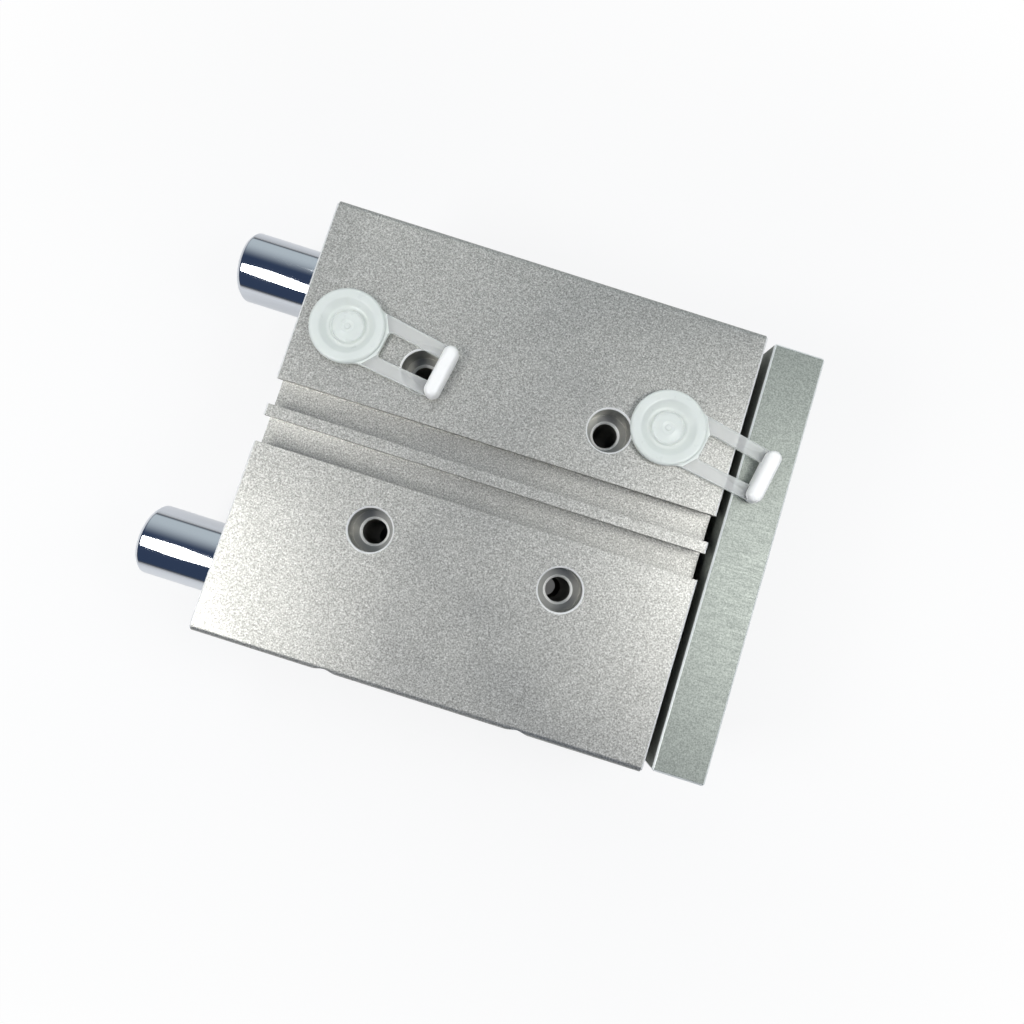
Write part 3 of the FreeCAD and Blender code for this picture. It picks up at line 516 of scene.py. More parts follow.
@dataclass(frozen=True)
class ZincPlating(Finish):
    """Ground steel, zinc plated and passivated: dull, a little green, with soft mottles and streaks.

    Attributes:
        mottle: width of a mottle in millimetres.
        dark: sRGB hex of the dull spots.
        light: sRGB hex of the bright ones.
    """

    mottle: float = 0.32
    dark: str = "858a83"
    light: str = "b9beb5"

    def wire(self, tree: Tree, shader: Node, place: Socket) -> None:
        """Mottles in the colour, grinding streaks across the plate's thickness in the bump.

        Args:
            tree, shader, place: as in Finish.wire.
        """
        spots = add(
            tree,
            "ShaderNodeTexNoise",
            {"Vector": place, "Scale": 1 / (self.mottle * MM), "Detail": 6.0, "Roughness": 0.7},
        )
        stops = ((0.34, self.dark), (0.68, self.light), (0.5, self.colour))
        self.vary_colour(tree, shader, spots.outputs["Fac"], stops)
        stretch = add(tree, "ShaderNodeMapping", {"Vector": place, "Scale": (1.0, 14.0, 14.0)})
        streaks = add(
            tree,
            "ShaderNodeTexNoise",
            {"Vector": stretch.outputs["Vector"], "Scale": 1 / (4 * MM), "Detail": 4.0},
        )
        self.vary_roughness(tree, shader, streaks.outputs["Fac"], 0.1)
        self.emboss(tree, shader, streaks.outputs["Fac"], 0.006, 0.4)


@dataclass(frozen=True)
class HardChrome(Finish):
    """Ground and hard chromed steel: a mirror with the faintest grinding rings and a few wiped marks."""

    def wire(self, tree: Tree, shader: Node, place: Socket) -> None:
        """Rings too fine to count in the bump and a thin film that dulls some stretches.

        Args:
            tree, shader, place: as in Finish.wire.
        """
        squeeze = add(tree, "ShaderNodeMapping", {"Vector": place, "Scale": (60.0, 1.0, 1.0)})
        rings = add(
            tree,
            "ShaderNodeTexNoise",
            {"Vector": squeeze.outputs["Vector"], "Scale": 1 / (9 * MM), "Detail": 3.0},
        )
        film = add(tree, "ShaderNodeTexNoise", {"Vector": place, "Scale": 1 / (5 * MM), "Detail": 4.0})
        self.vary_roughness(tree, shader, film.outputs["Fac"], 0.35)
        self.emboss(tree, shader, rings.outputs["Fac"], 0.004, 0.12)


@dataclass(frozen=True)
class MilkyPolyethylene(Finish):
    """Injection moulded polyethylene without pigment: waxy, and clearer the thinner it is.

    Attributes:
        clear: share of light that goes straight through one skin of the section.
        depth: how deep the milky scatter reaches, in millimetres.
        scatter: share of the colour that comes from that scatter.
        ior: bend of light in polyethylene.
        sheen: how strongly the waxy edges pale.
        sheen_roughness: how widely they do.
    """

    clear: float = 0.4
    depth: float = 1.2
    scatter: float = 0.35
    ior: float = 1.51
    sheen: float = 0.35
    sheen_roughness: float = 0.45

    def wire(self, tree: Tree, shader: Node, place: Socket) -> None:
        """Milky scatter, a frosted passage for light, pale edges and slow flow marks.

        Args:
            tree, shader, place: as in Finish.wire.
        """
        constants = {
            "Alpha": 1 - self.clear,
            "Subsurface Weight": self.scatter,
            "Subsurface Radius": (1.0, 1.0, 0.95),
            "Subsurface Scale": self.depth * MM,
            "IOR": self.ior,
            "Sheen Weight": self.sheen,
            "Sheen Roughness": self.sheen_roughness,
        }
        for name, value in constants.items():
            shader.inputs[name].default_value = value
        flow = add(tree, "ShaderNodeTexNoise", {"Vector": place, "Scale": 1 / (2.2 * MM), "Detail": 3.0})
        self.vary_roughness(tree, shader, flow.outputs["Fac"], 0.2)
        self.emboss(tree, shader, flow.outputs["Fac"], 0.008, 0.3)


@dataclass(frozen=True)
class BlackOxide(Finish):
    """Heat treated steel, blackened in a bath: nearly black, oily, with rubbed high spots."""

    def wire(self, tree: Tree, shader: Node, place: Socket) -> None:
        """Bluish and brownish clouds that a bath leaves.

        Args:
            tree, shader, place: as in Finish.wire.
        """
        cloud = add(tree, "ShaderNodeTexNoise", {"Vector": place, "Scale": 1 / (1.8 * MM), "Detail": 4.0})
        stops = ((0.3, "17181b"), (0.75, "34322f"), (0.5, self.colour))
        self.vary_colour(tree, shader, cloud.outputs["Fac"], stops)
        self.vary_roughness(tree, shader, cloud.outputs["Fac"], 0.25)


@dataclass(frozen=True)
class SinteredBronze(Finish):
    """Pressed and sintered bronze, soaked with oil: brown grains with open pores."""

    def wire(self, tree: Tree, shader: Node, place: Socket) -> None:
        """Grains of about 0.15 mm in colour and bump.

        Args:
            tree, shader, place: as in Finish.wire.
        """
        grain = add(tree, "ShaderNodeTexVoronoi", {"Vector": place, "Scale": 1 / (0.3 * MM)})
        stops = ((0.0, "5c4526"), (0.6, "a3854f"), (0.3, self.colour))
        self.vary_colour(tree, shader, grain.outputs["Distance"], stops)
        self.emboss(tree, shader, grain.outputs["Distance"], 0.02, 0.5)


@dataclass(frozen=True)
class MouldedRubber(Finish):
    """Compression moulded nitrile or polyurethane: matt, with a faint bloom."""

    bloom: str = "3a3a3a"

    def wire(self, tree: Tree, shader: Node, place: Socket) -> None:
        """A pale bloom in patches over an even, finely rough skin.

        Args:
            tree, shader, place: as in Finish.wire.
        """
        cloud = add(tree, "ShaderNodeTexNoise", {"Vector": place, "Scale": 1 / (1.2 * MM), "Detail": 5.0})
        self.vary_colour(tree, shader, cloud.outputs["Fac"], ((0.4, self.colour), (0.85, self.bloom)))
        self.emboss(tree, shader, cloud.outputs["Fac"], 0.015, 0.4)


BLASTED = BlastedAnodising("aluminium, bead blasted and anodised", "b7b6af", 0.9, 0.5)
# Cut to length by a wide face mill: faint arcs much wider than the block, duller than the blasted skin.
END_MILLED = TurnedMetal(
    "aluminium, face milled and anodised", "aeada8", 1.0, 0.4, axis=(60.0, -60.0), feed=0.8, marks=0.004
)
# Bored after blasting, so the walls and seats are smooth and satin, without sparkle.
BORED = Finish("aluminium, bored and anodised", "b4b3ac", 0.82, 0.38)
# Chamfers and broken edges are painted near white: a painted highlight for the thin bright line that light
# draws along them.
EDGE_HIGHLIGHT = Finish("aluminium edge, anodised, painted highlight", "f6f6f2", 0.15, 0.45)
# The plate's chamfers are painted near white too: a painted highlight on its edges.
PLATE_EDGE_HIGHLIGHT = Finish("steel edge, zinc plated, painted highlight", "eef1ec", 0.25, 0.45)
# Turned on a lathe: fine bright rings about the bore.
COVER_FACE = TurnedMetal("aluminium, turned cover", "b9b9b7", 1.0, 0.28)
ZINC = ZincPlating("steel, ground and zinc plated", "9ea39b", 0.85, 0.56)
CHROME = HardChrome("steel, ground and hard chromed", "d6d9dd", 1.0, 0.07)
STAINLESS = HardChrome("stainless steel, ground", "b9bab9", 1.0, 0.16)
SCREW_BLACK = BlackOxide("alloy steel, black oxide", "232427", 0.75, 0.38)
SPRING_BLACK = BlackOxide("spring steel, phosphated", "2b2b2c", 0.6, 0.5)
NUT_STEEL = ZincPlating("steel nut, zinc plated", "a6a79f", 0.9, 0.4, mottle=0.8)
BRONZE = SinteredBronze("bronze, sintered", "80622f", 0.9, 0.45)
NITRILE = MouldedRubber("nitrile rubber, moulded", "161616", 0.0, 0.62)
POLYURETHANE = MouldedRubber("polyurethane, moulded", "6d4a1f", 0.0, 0.4, "8c6634")
ACETAL = MouldedRubber("acetal, filled and turned", "32322f", 0.0, 0.5, "44443f")
FERRITE = MouldedRubber("ferrite, plastic bonded", "1d1d1e", 0.0, 0.7, "2a2a2c")
# The caps are one moulding: a thin clear web, a milky disc and a thick white bar.
CAP_WEB = MilkyPolyethylene("polyethylene, moulded thin web", "fdfef8", 0.0, 0.36, clear=0.7, depth=0.4)
CAP_DISC = MilkyPolyethylene("polyethylene, moulded disc", "f0f5ee", 0.0, 0.32, clear=0.22, depth=0.5)
CAP_BAR = MilkyPolyethylene("polyethylene, moulded thick bar", "fefdf6", 0.0, 0.38, clear=0.0, depth=1.2)


# ------------------------------------------------------------------------------ node-made pieces


class GeometryTree:
    """A Geometry Nodes tree under construction, with named inputs."""

    def __init__(self, name: str) -> None:
        """Start a tree that has a geometry input and output.

        Args:
            name: the tree's name.
        """
        self.tree = bpy.data.node_groups.new(name, "GeometryNodeTree")
        self.tree.interface.new_socket("Geometry", in_out="INPUT", socket_type="NodeSocketGeometry")
        self.tree.interface.new_socket("Geometry", in_out="OUTPUT", socket_type="NodeSocketGeometry")
        self.entry = self.tree.nodes.new("NodeGroupInput")
        self.exit = self.tree.nodes.new("NodeGroupOutput")
        self.identifiers: dict[str, str] = {}

    def size(self, name: str, kind: str = "NodeSocketFloat") -> Socket:
        """Add a named input and return its socket inside the tree.

        Args:
            name: the input's name.
            kind: the kind of its socket.

        Returns:
            The socket.
        """
        item = self.tree.interface.new_socket(name, in_out="INPUT", socket_type=kind)
        self.identifiers[name] = item.identifier
        return self.entry.outputs[name]

    def node(self, kind: str, inputs: dict | None = None, **settings: object) -> Node:
        """Add a node to the tree."""
        return add(self.tree, kind, inputs, **settings)

    def end(self, geometry: Socket) -> None:
        """Make instances real, give them the material input and close the tree.

        Args:
            geometry: what the tree makes.
        """
        real = self.node("GeometryNodeRealizeInstances", {"Geometry": geometry})
        finish = self.size("Material", "NodeSocketMaterial")
        inputs = {"Geometry": real.outputs["Geometry"], "Material": finish}
        dressed = self.node("GeometryNodeSetMaterial", inputs)
        self.tree.links.new(dressed.outputs["Geometry"], self.exit.inputs["Geometry"])

    def run(self, name: str, points: Sequence[tuple[Vector, Vector]], values: dict[str, object]) -> Object:
        """Run the tree on points with directions and return a plain mesh.

        Args:
            name: the new piece's name.
            points: place in millimetres and direction of each copy.
            values: the tree's named inputs.

        Returns:
            The finished object, with no modifier left.
        """
        mesh = bpy.data.meshes.new(name)
        mesh.from_pydata([place * MM for place, _ in points], [], [])
        directions = mesh.attributes.new("direction", "FLOAT_VECTOR", "POINT")
        for item, (_, direction) in zip(directions.data, points):
            item.vector = direction
        piece = new_object(name, mesh)
        modifier = piece.modifiers.new("maker", "NODES")
        modifier.node_group = self.tree
        for key, value in values.items():
            modifier[self.identifiers[key]] = value
        return shade(with_modifiers(piece), SHARP_RIDGE)

    def on_points(self, instance: Socket) -> Socket:
        """Copy a geometry to every point, with its Z axis along the point's direction.

        Args:
            instance: the geometry.

        Returns:
            The copies.
        """
        named = {"Name": "direction"}
        direction = self.node("GeometryNodeInputNamedAttribute", named, data_type="FLOAT_VECTOR")
        aim = {"Vector": direction.outputs["Attribute"]}
        turn = self.node("FunctionNodeAlignRotationToVector", aim, axis="Z")
        inputs = {
            "Points": self.entry.outputs["Geometry"],
            "Instance": instance,
            "Rotation": turn.outputs["Rotation"],
        }
        return self.node("GeometryNodeInstanceOnPoints", inputs).outputs["Instances"]


def thread_tree() -> GeometryTree:
    """Tree that lines holes with a thread: one ridge that winds down each hole from its mouth.

    Returns:
        The tree.
    """
    made = GeometryTree("cut thread")
    radius = made.size("Ridge Radius")
    spiral = made.node(
        "GeometryNodeCurveSpiral",
        {
            "Resolution": 40,
            "Rotations": made.size("Turns"),
            "Start Radius": radius,
            "End Radius": radius,
            "Height": made.size("Length"),
        },
    )
    upright = made.node("GeometryNodeSetCurveNormal", {"Curve": spiral.outputs["Curve"]}, mode="Z_UP")
    section = {"Resolution": 3, "Radius": made.size("Ridge Height")}
    flank = made.node("GeometryNodeCurvePrimitiveCircle", section, mode="RADIUS")
    ridge = made.node(
        "GeometryNodeCurveToMesh",
        {"Curve": upright.outputs["Curve"], "Profile Curve": flank.outputs["Curve"], "Fill Caps": True},
    )
    made.end(made.on_points(ridge.outputs["Mesh"]))
    return made


def knurl_tree() -> GeometryTree:
    """Tree that puts the straight knurl around screw heads: one rib, repeated around each head.

    Returns:
        The tree.
    """
    made = GeometryTree("knurled head")
    around = {"Vertices": made.size("Ribs", "NodeSocketInt"), "Radius": made.size("Head Radius")}
    ring = made.node("GeometryNodeMeshCircle", around)
    start = made.node("ShaderNodeCombineXYZ", {"Z": made.size("Start")}).outputs["Vector"]
    place = {"Geometry": ring.outputs["Mesh"], "Translation": start}
    lifted = made.node("GeometryNodeTransform", place)
    square = {"Resolution": 4, "Radius": 1.0}
    section = made.node("GeometryNodeCurvePrimitiveCircle", square, mode="RADIUS")
    spread = {"X": made.size("Rib Depth"), "Y": made.size("Half Width"), "Z": 1.0}
    scale = made.node("ShaderNodeCombineXYZ", spread).outputs["Vector"]
    sized = made.node("GeometryNodeTransform", {"Geometry": section.outputs["Curve"], "Scale": scale})
    top = made.node("ShaderNodeCombineXYZ", {"Z": made.size("Length")}).outputs["Vector"]
    line = made.node("GeometryNodeCurvePrimitiveLine", {"Start": (0.0, 0.0, 0.0), "End": top}, mode="POINTS")
    swept = {"Curve": line.outputs["Curve"], "Profile Curve": sized.outputs["Geometry"], "Fill Caps": True}
    rib = made.node("GeometryNodeCurveToMesh", swept)
    spot = {0: made.node("GeometryNodeInputPosition").outputs["Position"], 1: (1.0, 1.0, 0.0)}
    radial = made.node("ShaderNodeVectorMath", spot, operation="MULTIPLY").outputs["Vector"]
    turn = made.node("FunctionNodeAlignRotationToVector", {"Vector": radial}, axis="X", pivot_axis="Z")
    copies = {
        "Points": lifted.outputs["Geometry"],
        "Instance": rib.outputs["Mesh"],
        "Rotation": turn.outputs["Rotation"],
    }
    made.end(made.on_points(made.node("GeometryNodeInstanceOnPoints", copies).outputs["Instances"]))
    return made


@dataclass(frozen=True)
class Thread:
    """A cut thread, drawn as a ridge on a hole's plain wall, in millimetres.

    Attributes:
        wall: radius of the hole's wall.
        ridge: radius of the ridge's three-sided section.
        pitch: rise of one turn.
        sunk: share of the ridge's radius by which its middle stands in front of the wall.
    """

    wall: float
    ridge: float
    pitch: float
    sunk: float = 0.32

    def cut(
        self,
        tree: GeometryTree,
        name: str,
        points: Sequence[tuple[Vector, Vector]],
        length: float,
        finish: Finish,
        body: Body,
        slot: str,
    ) -> None:
        """Line holes with the thread and publish it.

        Args:
            tree: the tree that lines holes with a thread.
            name: the piece's name.
            points: the thread's start and direction in each hole, in millimetres.
            length: how far it reaches from there, in millimetres.
            finish: the walls' finish.
            body: the body that has the holes.
            slot: not used.
        """
        values = {
            "Ridge Radius": (self.wall - self.sunk * self.ridge) * MM,
            "Ridge Height": self.ridge * MM,
            "Length": length * MM,
            "Turns": length / self.pitch,
            "Material": finish.material(),
        }
        publish(tree.run(name, points, values), body)


M6 = Thread(2.5, 0.3, 1.0)
# The mounting holes are wide enough for M5 screws to pass, which leaves shallower ridges.
M6_OPENED = Thread(2.6, 0.21, 1.0)
PIPE_THREAD = Thread(4.85, 0.45, 0.907)


# ------------------------------------------------------------------------------------- housing


@dataclass
class Housing:
    """The machined block with its threads and what closes its bores, in millimetres.

    Attributes:
        hole_rows: places of both rows of holes along X from the frame's origin.
        side_levels: heights of the threaded holes in the right narrow side.
        side_start: where their threads start below that side, under the spot face.
        side_length: how far those threads reach.
        mount_half: half of the mounting holes' spacing across the block.
        mount_start: where the mounting holes' threads start above the back face.
        mount_length: how far those threads reach.
        port_x: places of the air ports along X.
        port_y: their place across.
        port_start: where their threads start below the front face.
        port_length: how far those threads reach.
        broken_edge: width of the round on every sharp edge.
        edge_reach: how far the ends' chamfers reach.
        seat_depth: depth of the chamfer around the core of a mounting hole's seat.
        long_round: radius of the long edges.
        skin: a face within this distance of an outer side lies in it.
        slot_offset: a slot's middle from the block's middle.
        slot_half: half of a slot's width between its lips.
        slot_undercut: how far the slot widens under a lip.
        slot_floor: height of the slots' floors.
        slot_reach: how far both slots reach from the block's middle.
        slot_hollow: radius of the hollow across a slot's floor.
        slot_steps: flats across that hollow.
        slot_room: how far a floor's sheet stays from the slot's walls and ends.
        slot_sheet: thickness of that sheet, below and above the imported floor.
    """

    hole_rows: Point = (-20.0, 20.0)
    side_levels: Point = (4.4, 37.6)
    side_start: float = 1.3
    side_length: float = 8.7
    mount_half: float = 17.0
    mount_start: float = 0.7
    mount_length: float = 12.0
    port_x: Point = (-37.3, 31.2)
    port_y: float = 21.0
    port_start: float = 0.7
    port_length: float = 7.0
    broken_edge: float = 0.1
    edge_reach: float = 0.45
    seat_depth: float = 5.95
    long_round: float = 1.3
    skin: float = 0.05
    slot_offset: float = 4.0
    slot_half: float = 2.8
    slot_undercut: float = 0.7
    slot_floor: float = 37.5
    slot_reach: float = 8.0
    slot_hollow: float = 26.0
    slot_steps: int = 16
    slot_room: Point = (0.02, 0.03)
    slot_sheet: Point = (0.03, 0.04)
    low: Vector = field(default_factory=lambda: box_mm("housing")[0])
    high: Vector = field(default_factory=lambda: box_mm("housing")[1])

    def build(self, threads: GeometryTree) -> None:
        """Make and publish the block, its threads and its closures.

        Args:
            threads: the tree that lines holes with a thread.
        """
        self.block()
        self.slot_floors()
        self.threads(threads)
        self.closures()

    def block(self) -> None:
        """The block: blasted outside and in the slots, milled ends, satin holes, and edges painted near
        white as a highlight.
        """
        piece = refined("housing", "housing_block", ease=self.broken_edge)
        for finish in (BLASTED, END_MILLED, BORED, EDGE_HIGHLIGHT):
            piece.data.materials.append(finish.material())
        for face in piece.data.polygons:
            face.material_index = self.zone(Vector(face.center) / MM, face.normal)
        publish(piece, Body.CYLINDER, ["housing"])

    def zone(self, centre: Vector, normal: Vector) -> BlockSkin:
        """Say which finish a face of the block has.

        Args:
            centre: the face's centre in millimetres.
            normal: its normal.

        Returns:
            The finish.
        """
        # Share of a normal along X on a face that runs along the stroke, and across it on a flat one.
        straight, square = 0.01, 0.95
        from_end = min(centre.x - self.low.x, self.high.x - centre.x)
        from_skin = min(centre.z, self.high.z - centre.z, self.high.y - abs(centre.y))
        if from_end < self.skin:
            return BlockSkin.MILLED
        in_slot = abs(centre.y) < self.slot_reach and centre.z > self.slot_floor - self.skin
        # The ends' chamfers get the painted edge highlight.
        if from_end < self.edge_reach and (from_skin < self.edge_reach or in_slot):
            return BlockSkin.EDGE_HIGHLIGHT
        along = abs(normal.x) < straight
        if from_skin < self.skin or along and in_slot:
            return BlockSkin.BLASTED
        if along and abs(centre.y) > self.high.y - self.long_round and from_skin < self.long_round:
            return BlockSkin.BLASTED
        # Chamfers along the skin and around the seats' cores get the painted edge highlight too.
        oblique = max(abs(normal.y), abs(normal.z)) < square
        at_seat = abs(self.high.z - centre.z - self.seat_depth) < self.edge_reach
        if oblique and (from_skin < self.edge_reach or at_seat):
            return BlockSkin.EDGE_HIGHLIGHT
        return BlockSkin.BORED

    def slot_floors(self) -> None:
        """The slots' floors, a little hollow across, as the extrusion leaves them."""
        beside, before_end = self.slot_room
        below, above = self.slot_sheet
        half = self.slot_half + self.slot_undercut - beside
        radius = self.slot_hollow
        section = [(half, -below), (-half, -below)]
        for step in range(self.slot_steps + 1):
            across = half * (2 * step / self.slot_steps - 1)
            section.append((across, above + radius - math.sqrt(radius**2 - across**2)))
        work = bmesh.new()
        for side in Side:
            middle = side.value * self.slot_offset
            loft(
                work,
                [
                    [(x, middle + y, self.slot_floor + z) for y, z in section]
                    for x in (self.low.x + before_end, self.high.x - before_end)
                ],
            )
        piece = from_bmesh("housing_slot_floors", work)
        piece.data.materials.append(BLASTED.material())
        publish(piece, Body.CYLINDER)

    def threads(self, tree: GeometryTree) -> None:
        """M6 threads in the right side and at the back, pipe threads in both air ports.

        Args:
            tree: the tree that lines holes with a thread.
        """
        inwards, up, down = Vector((0.0, 1.0, 0.0)), Vector((0.0, 0.0, 1.0)), Vector((0.0, 0.0, -1.0))
        start = self.low.y + self.side_start
        top = self.high.z - self.port_start
        at_side = [(Vector((x, start, z)), inwards) for x in self.hole_rows for z in self.side_levels]
        at_back = [
            (Vector((x, side.value * self.mount_half, self.mount_start)), up)
            for side in Side
            for x in self.hole_rows
        ]
        at_ports = [(Vector((x, self.port_y, top)), down) for x in self.port_x]
        rows = (
            (M6, "housing_side_threads", at_side, self.side_length),
            (M6_OPENED, "housing_back_threads", at_back, self.mount_length),
            (PIPE_THREAD, "housing_port_threads", at_ports, self.port_length),
        )
        for thread, name, points, length in rows:
            thread.cut(tree, name, points, length, BORED, Body.CYLINDER, "anodised_body")

    def closures(self) -> None:
        """Covers and rings in the cylinder's bore, and the bushes, wipers and seal at the mouths."""
        parts = {
            "rear_cover": (COVER_FACE, "turned_aluminium"),
            "bearing_cap": (COVER_FACE, "turned_aluminium"),
            "rear_retaining_ring": (SPRING_BLACK, "spring_steel"),
            "front_retaining_ring": (SPRING_BLACK, "spring_steel"),
        }
        for side in ("left", "right"):
            parts[f"guide_bush_front_{side}"] = (BRONZE, "bronze")
            parts[f"guide_bush_rear_{side}"] = (BRONZE, "bronze")
            parts[f"guide_wiper_{side}"] = (NITRILE, "seal_rubber")
        parts["rod_seal"] = (POLYURETHANE, "polyurethane")
        parts["rod_bush"] = (BRONZE, "bronze")
        for node, (finish, slot) in parts.items():
            dressed_copy(node, finish, Body.CYLINDER)


def dressed_copy(node: str, finish: Finish, body: Body) -> None:
    """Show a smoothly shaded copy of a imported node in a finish.

    Args:
        node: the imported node.
        finish: its finish.
        body: the body that carries it.
    """
    piece = refined(node, f"{node}_finished")
    piece.data.materials.append(finish.material())
    publish(piece, body, [node])


# ---------------------------------------------------------------------------------------- yoke


def eased(start: Point, corner: Point, end: Point, size: float, steps: int = 4) -> list[Point]:
    """Round the corner between two lines of a profile.

    Args:
        start: a point on the line before the corner.
        corner: the corner.
        end: a point on the line after it.
        size: how far from the corner the round begins, in millimetres.
        steps: straight pieces of the round.

    Returns:
        The points of the round.
    """
    at = Vector(corner)
    first = at + (Vector(start) - at).normalized() * size
    last = at + (Vector(end) - at).normalized() * size
    points = []
    for step in range(steps + 1):
        t = step / steps
        point = first * (1 - t) ** 2 + at * (2 * t * (1 - t)) + last * t**2
        points.append((point.x, point.y))
    return points


@dataclass
class GuideRod:
    """One ground and chromed guide rod.

    Attributes:
        side: the rod's side.
        radius: the rod's radius.
        chamfer: size of the lead-in at its free end.
        ease: size of the soft edges beside the lead-in.
        spigot: radius of the spigot in the yoke plate.
        recess: depth of that spigot.
        bore: radius of the tapped hole.
        bore_depth: how deep that hole reaches from the spigot's end.
        steps: faces around the rod.
    """

    side: Side
    radius: float = 8.0
    chamfer: float = 1.0
    ease: float = 0.35
    spigot: float = 6.0
    recess: float = 2.5
    bore: float = 4.02
    bore_depth: float = 14.9
    steps: int = 144

    def build(self) -> None:
        """Make and publish the rod."""
        name = f"guide_rod_{self.side.name.lower()}"
        low, high = box_mm(name)
        tail, end = low.x, high.x
        shoulder = end - self.recess
        r, c = self.radius, self.chamfer
        floor = end - self.bore_depth
        profile = [(tail, 0.0)]
        profile += eased((tail, 0.0), (tail, r - c), (tail + c, r), self.ease)
        profile += eased((tail, r - c), (tail + c, r), (end, r), self.ease)
        profile += [(shoulder, r), (shoulder, self.spigot), (end, self.spigot), (end, self.bore)]
        profile += [(floor, self.bore), (floor - self.bore / math.sqrt(3), 0.0)]
        section = [(x, 0.0, radius) for x, radius in profile]
        work = spun(section, closed=True, axis=(1.0, 0.0, 0.0), steps=self.steps)
        centre = Vector((0.0, low.y + high.y, low.z + high.z)) / 2 * MM
        bmesh.ops.translate(work, verts=work.verts, vec=centre)
        bmesh.ops.dissolve_degenerate(work, edges=work.edges, dist=WELD)
        piece = from_bmesh(f"{name}_chromed", work)
        piece.data.materials.append(CHROME.material())
        publish(piece, Body.YOKE, [name])


@dataclass
class HeadedScrew:
    """A low-headed socket screw of the yoke plate, with its knurl, in millimetres.

    Attributes:
        node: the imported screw.
        head_radius: radius of its head.
        head_height: height of its head.
        ribs: ribs of the knurl.
        sunk: how far the ribs' middles lie in the head.
        plain: height of the head's smooth foot and of its smooth top.
        rib_depth: how far a rib reaches from its middle.
        rib_share: share of the head's girth that the ribs fill.
    """

    node: str
    head_radius: float
    head_height: float
    ribs: int
    sunk: float = 0.03
    plain: Point = (0.6, 0.9)
    rib_depth: float = 0.16
    rib_share: float = 0.55

    def build(self, knurls: GeometryTree) -> None:
        """Make and publish the screw and its knurl.

        Args:
            knurls: the tree that puts ribs around heads.
        """
        dressed_copy(self.node, SCREW_BLACK, Body.YOKE)
        low, high = box_mm(self.node)
        seat = Vector((high.x - self.head_height, (low.y + high.y) / 2, (low.z + high.z) / 2))
        foot, top = self.plain
        radius = self.head_radius - self.sunk
        values = {
            "Head Radius": radius * MM,
            "Start": foot * MM,
            "Length": (self.head_height - top - foot) * MM,
            "Ribs": self.ribs,
            "Rib Depth": self.rib_depth * MM,
            "Half Width": radius * math.pi * self.rib_share / self.ribs * MM,
            "Material": SCREW_BLACK.material(),
        }
        piece = knurls.run(f"{self.node}_knurl", [(seat, Vector((1.0, 0.0, 0.0)))], values)
        publish(piece, Body.YOKE)


@dataclass
class Yoke:
    """What moves: plate, guide rods, piston rod, piston and screws.

    Attributes:
        load_half: half spacings of the load holes, across and up.
        load_start: where their threads start and end inside the plate's faces.
        broken_edge: width of the round on the plate's sharp edges.
        edge_reach: how far the plate's chamfers reach.
    """

    load_half: Point = (18.0, 12.0)
    load_start: float = 0.6
    broken_edge: float = 0.12
    edge_reach: float = 0.45

    def build(self, threads: GeometryTree, knurls: GeometryTree) -> None:
        """Make and publish every piece of the yoke.

        Args:
            threads: the tree that lines holes with a thread.
            knurls: the tree that puts ribs around screw heads.
        """
        self.plate()
        self.load_threads(threads)
        for side in Side:
            GuideRod(side).build()
            HeadedScrew(f"guide_rod_screw_{side.name.lower()}", 6.5, 5.0, 44).build(knurls)
        HeadedScrew("piston_rod_screw", 5.0, 4.0, 36).build(knurls)
        dressed_copy("piston_rod", STAINLESS, Body.YOKE)
        self.inner_parts()

    def plate(self) -> None:
        """The plate, its chamfers painted paler as a highlight."""
        piece = refined("yoke_plate", "yoke_plate_plated", ease=self.broken_edge)
        for finish in (ZINC, PLATE_EDGE_HIGHLIGHT):
            piece.data.materials.append(finish.material())
        low, high = box_mm("yoke_plate")
        # Share of a normal along one axis on a face that isn't a chamfer.
        square = 0.95
        for face in piece.data.polygons:
            centre = Vector(face.center) / MM
            gaps = sorted(min(centre[i] - low[i], high[i] - centre[i]) for i in range(3))
            oblique = max(abs(part) for part in face.normal) < square
            # Chamfers near the edges get the painted highlight.
            face.material_index = int(oblique and gaps[1] < self.edge_reach)
        publish(piece, Body.YOKE, ["yoke_plate"])

    def load_threads(self, tree: GeometryTree) -> None:
        """M6 threads of the four load holes.

        Args:
            tree: the tree that lines holes with a thread.
        """
        low, high = box_mm("yoke_plate")
        across, up = self.load_half
        middle = (low.z + high.z) / 2
        outwards = Vector((1.0, 0.0, 0.0))
        points = [
            (Vector((low.x + self.load_start, right * across, middle + above * up)), outwards)
            for right in (-1, 1)
            for above in (-1, 1)
        ]
        length = high.x - low.x - 2 * self.load_start
        M6.cut(tree, "yoke_plate_threads", points, length, ZINC, Body.YOKE, "zinc_plate")

    @staticmethod
    def inner_parts() -> None:
        """Give the sealed pieces their finishes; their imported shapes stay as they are."""
        finishes = {
            "piston": COVER_FACE,
            "piston_seal_rear": POLYURETHANE,
            "piston_seal_front": POLYURETHANE,
            "piston_guide_ring": ACETAL,
            "piston_magnet": FERRITE,
            "piston_nut": NUT_STEEL,
            "rod_oring": NITRILE,
            "rear_cover_oring": NITRILE,
            "bearing_cap_oring": NITRILE,
            "cushion_pad_rear": POLYURETHANE,
            "cushion_pad_front": POLYURETHANE,
        }
        for node, finish in finishes.items():
            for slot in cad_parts[node].material_slots:
                slot.material = finish.material()


# ------------------------------------------------------------------------------------ port caps


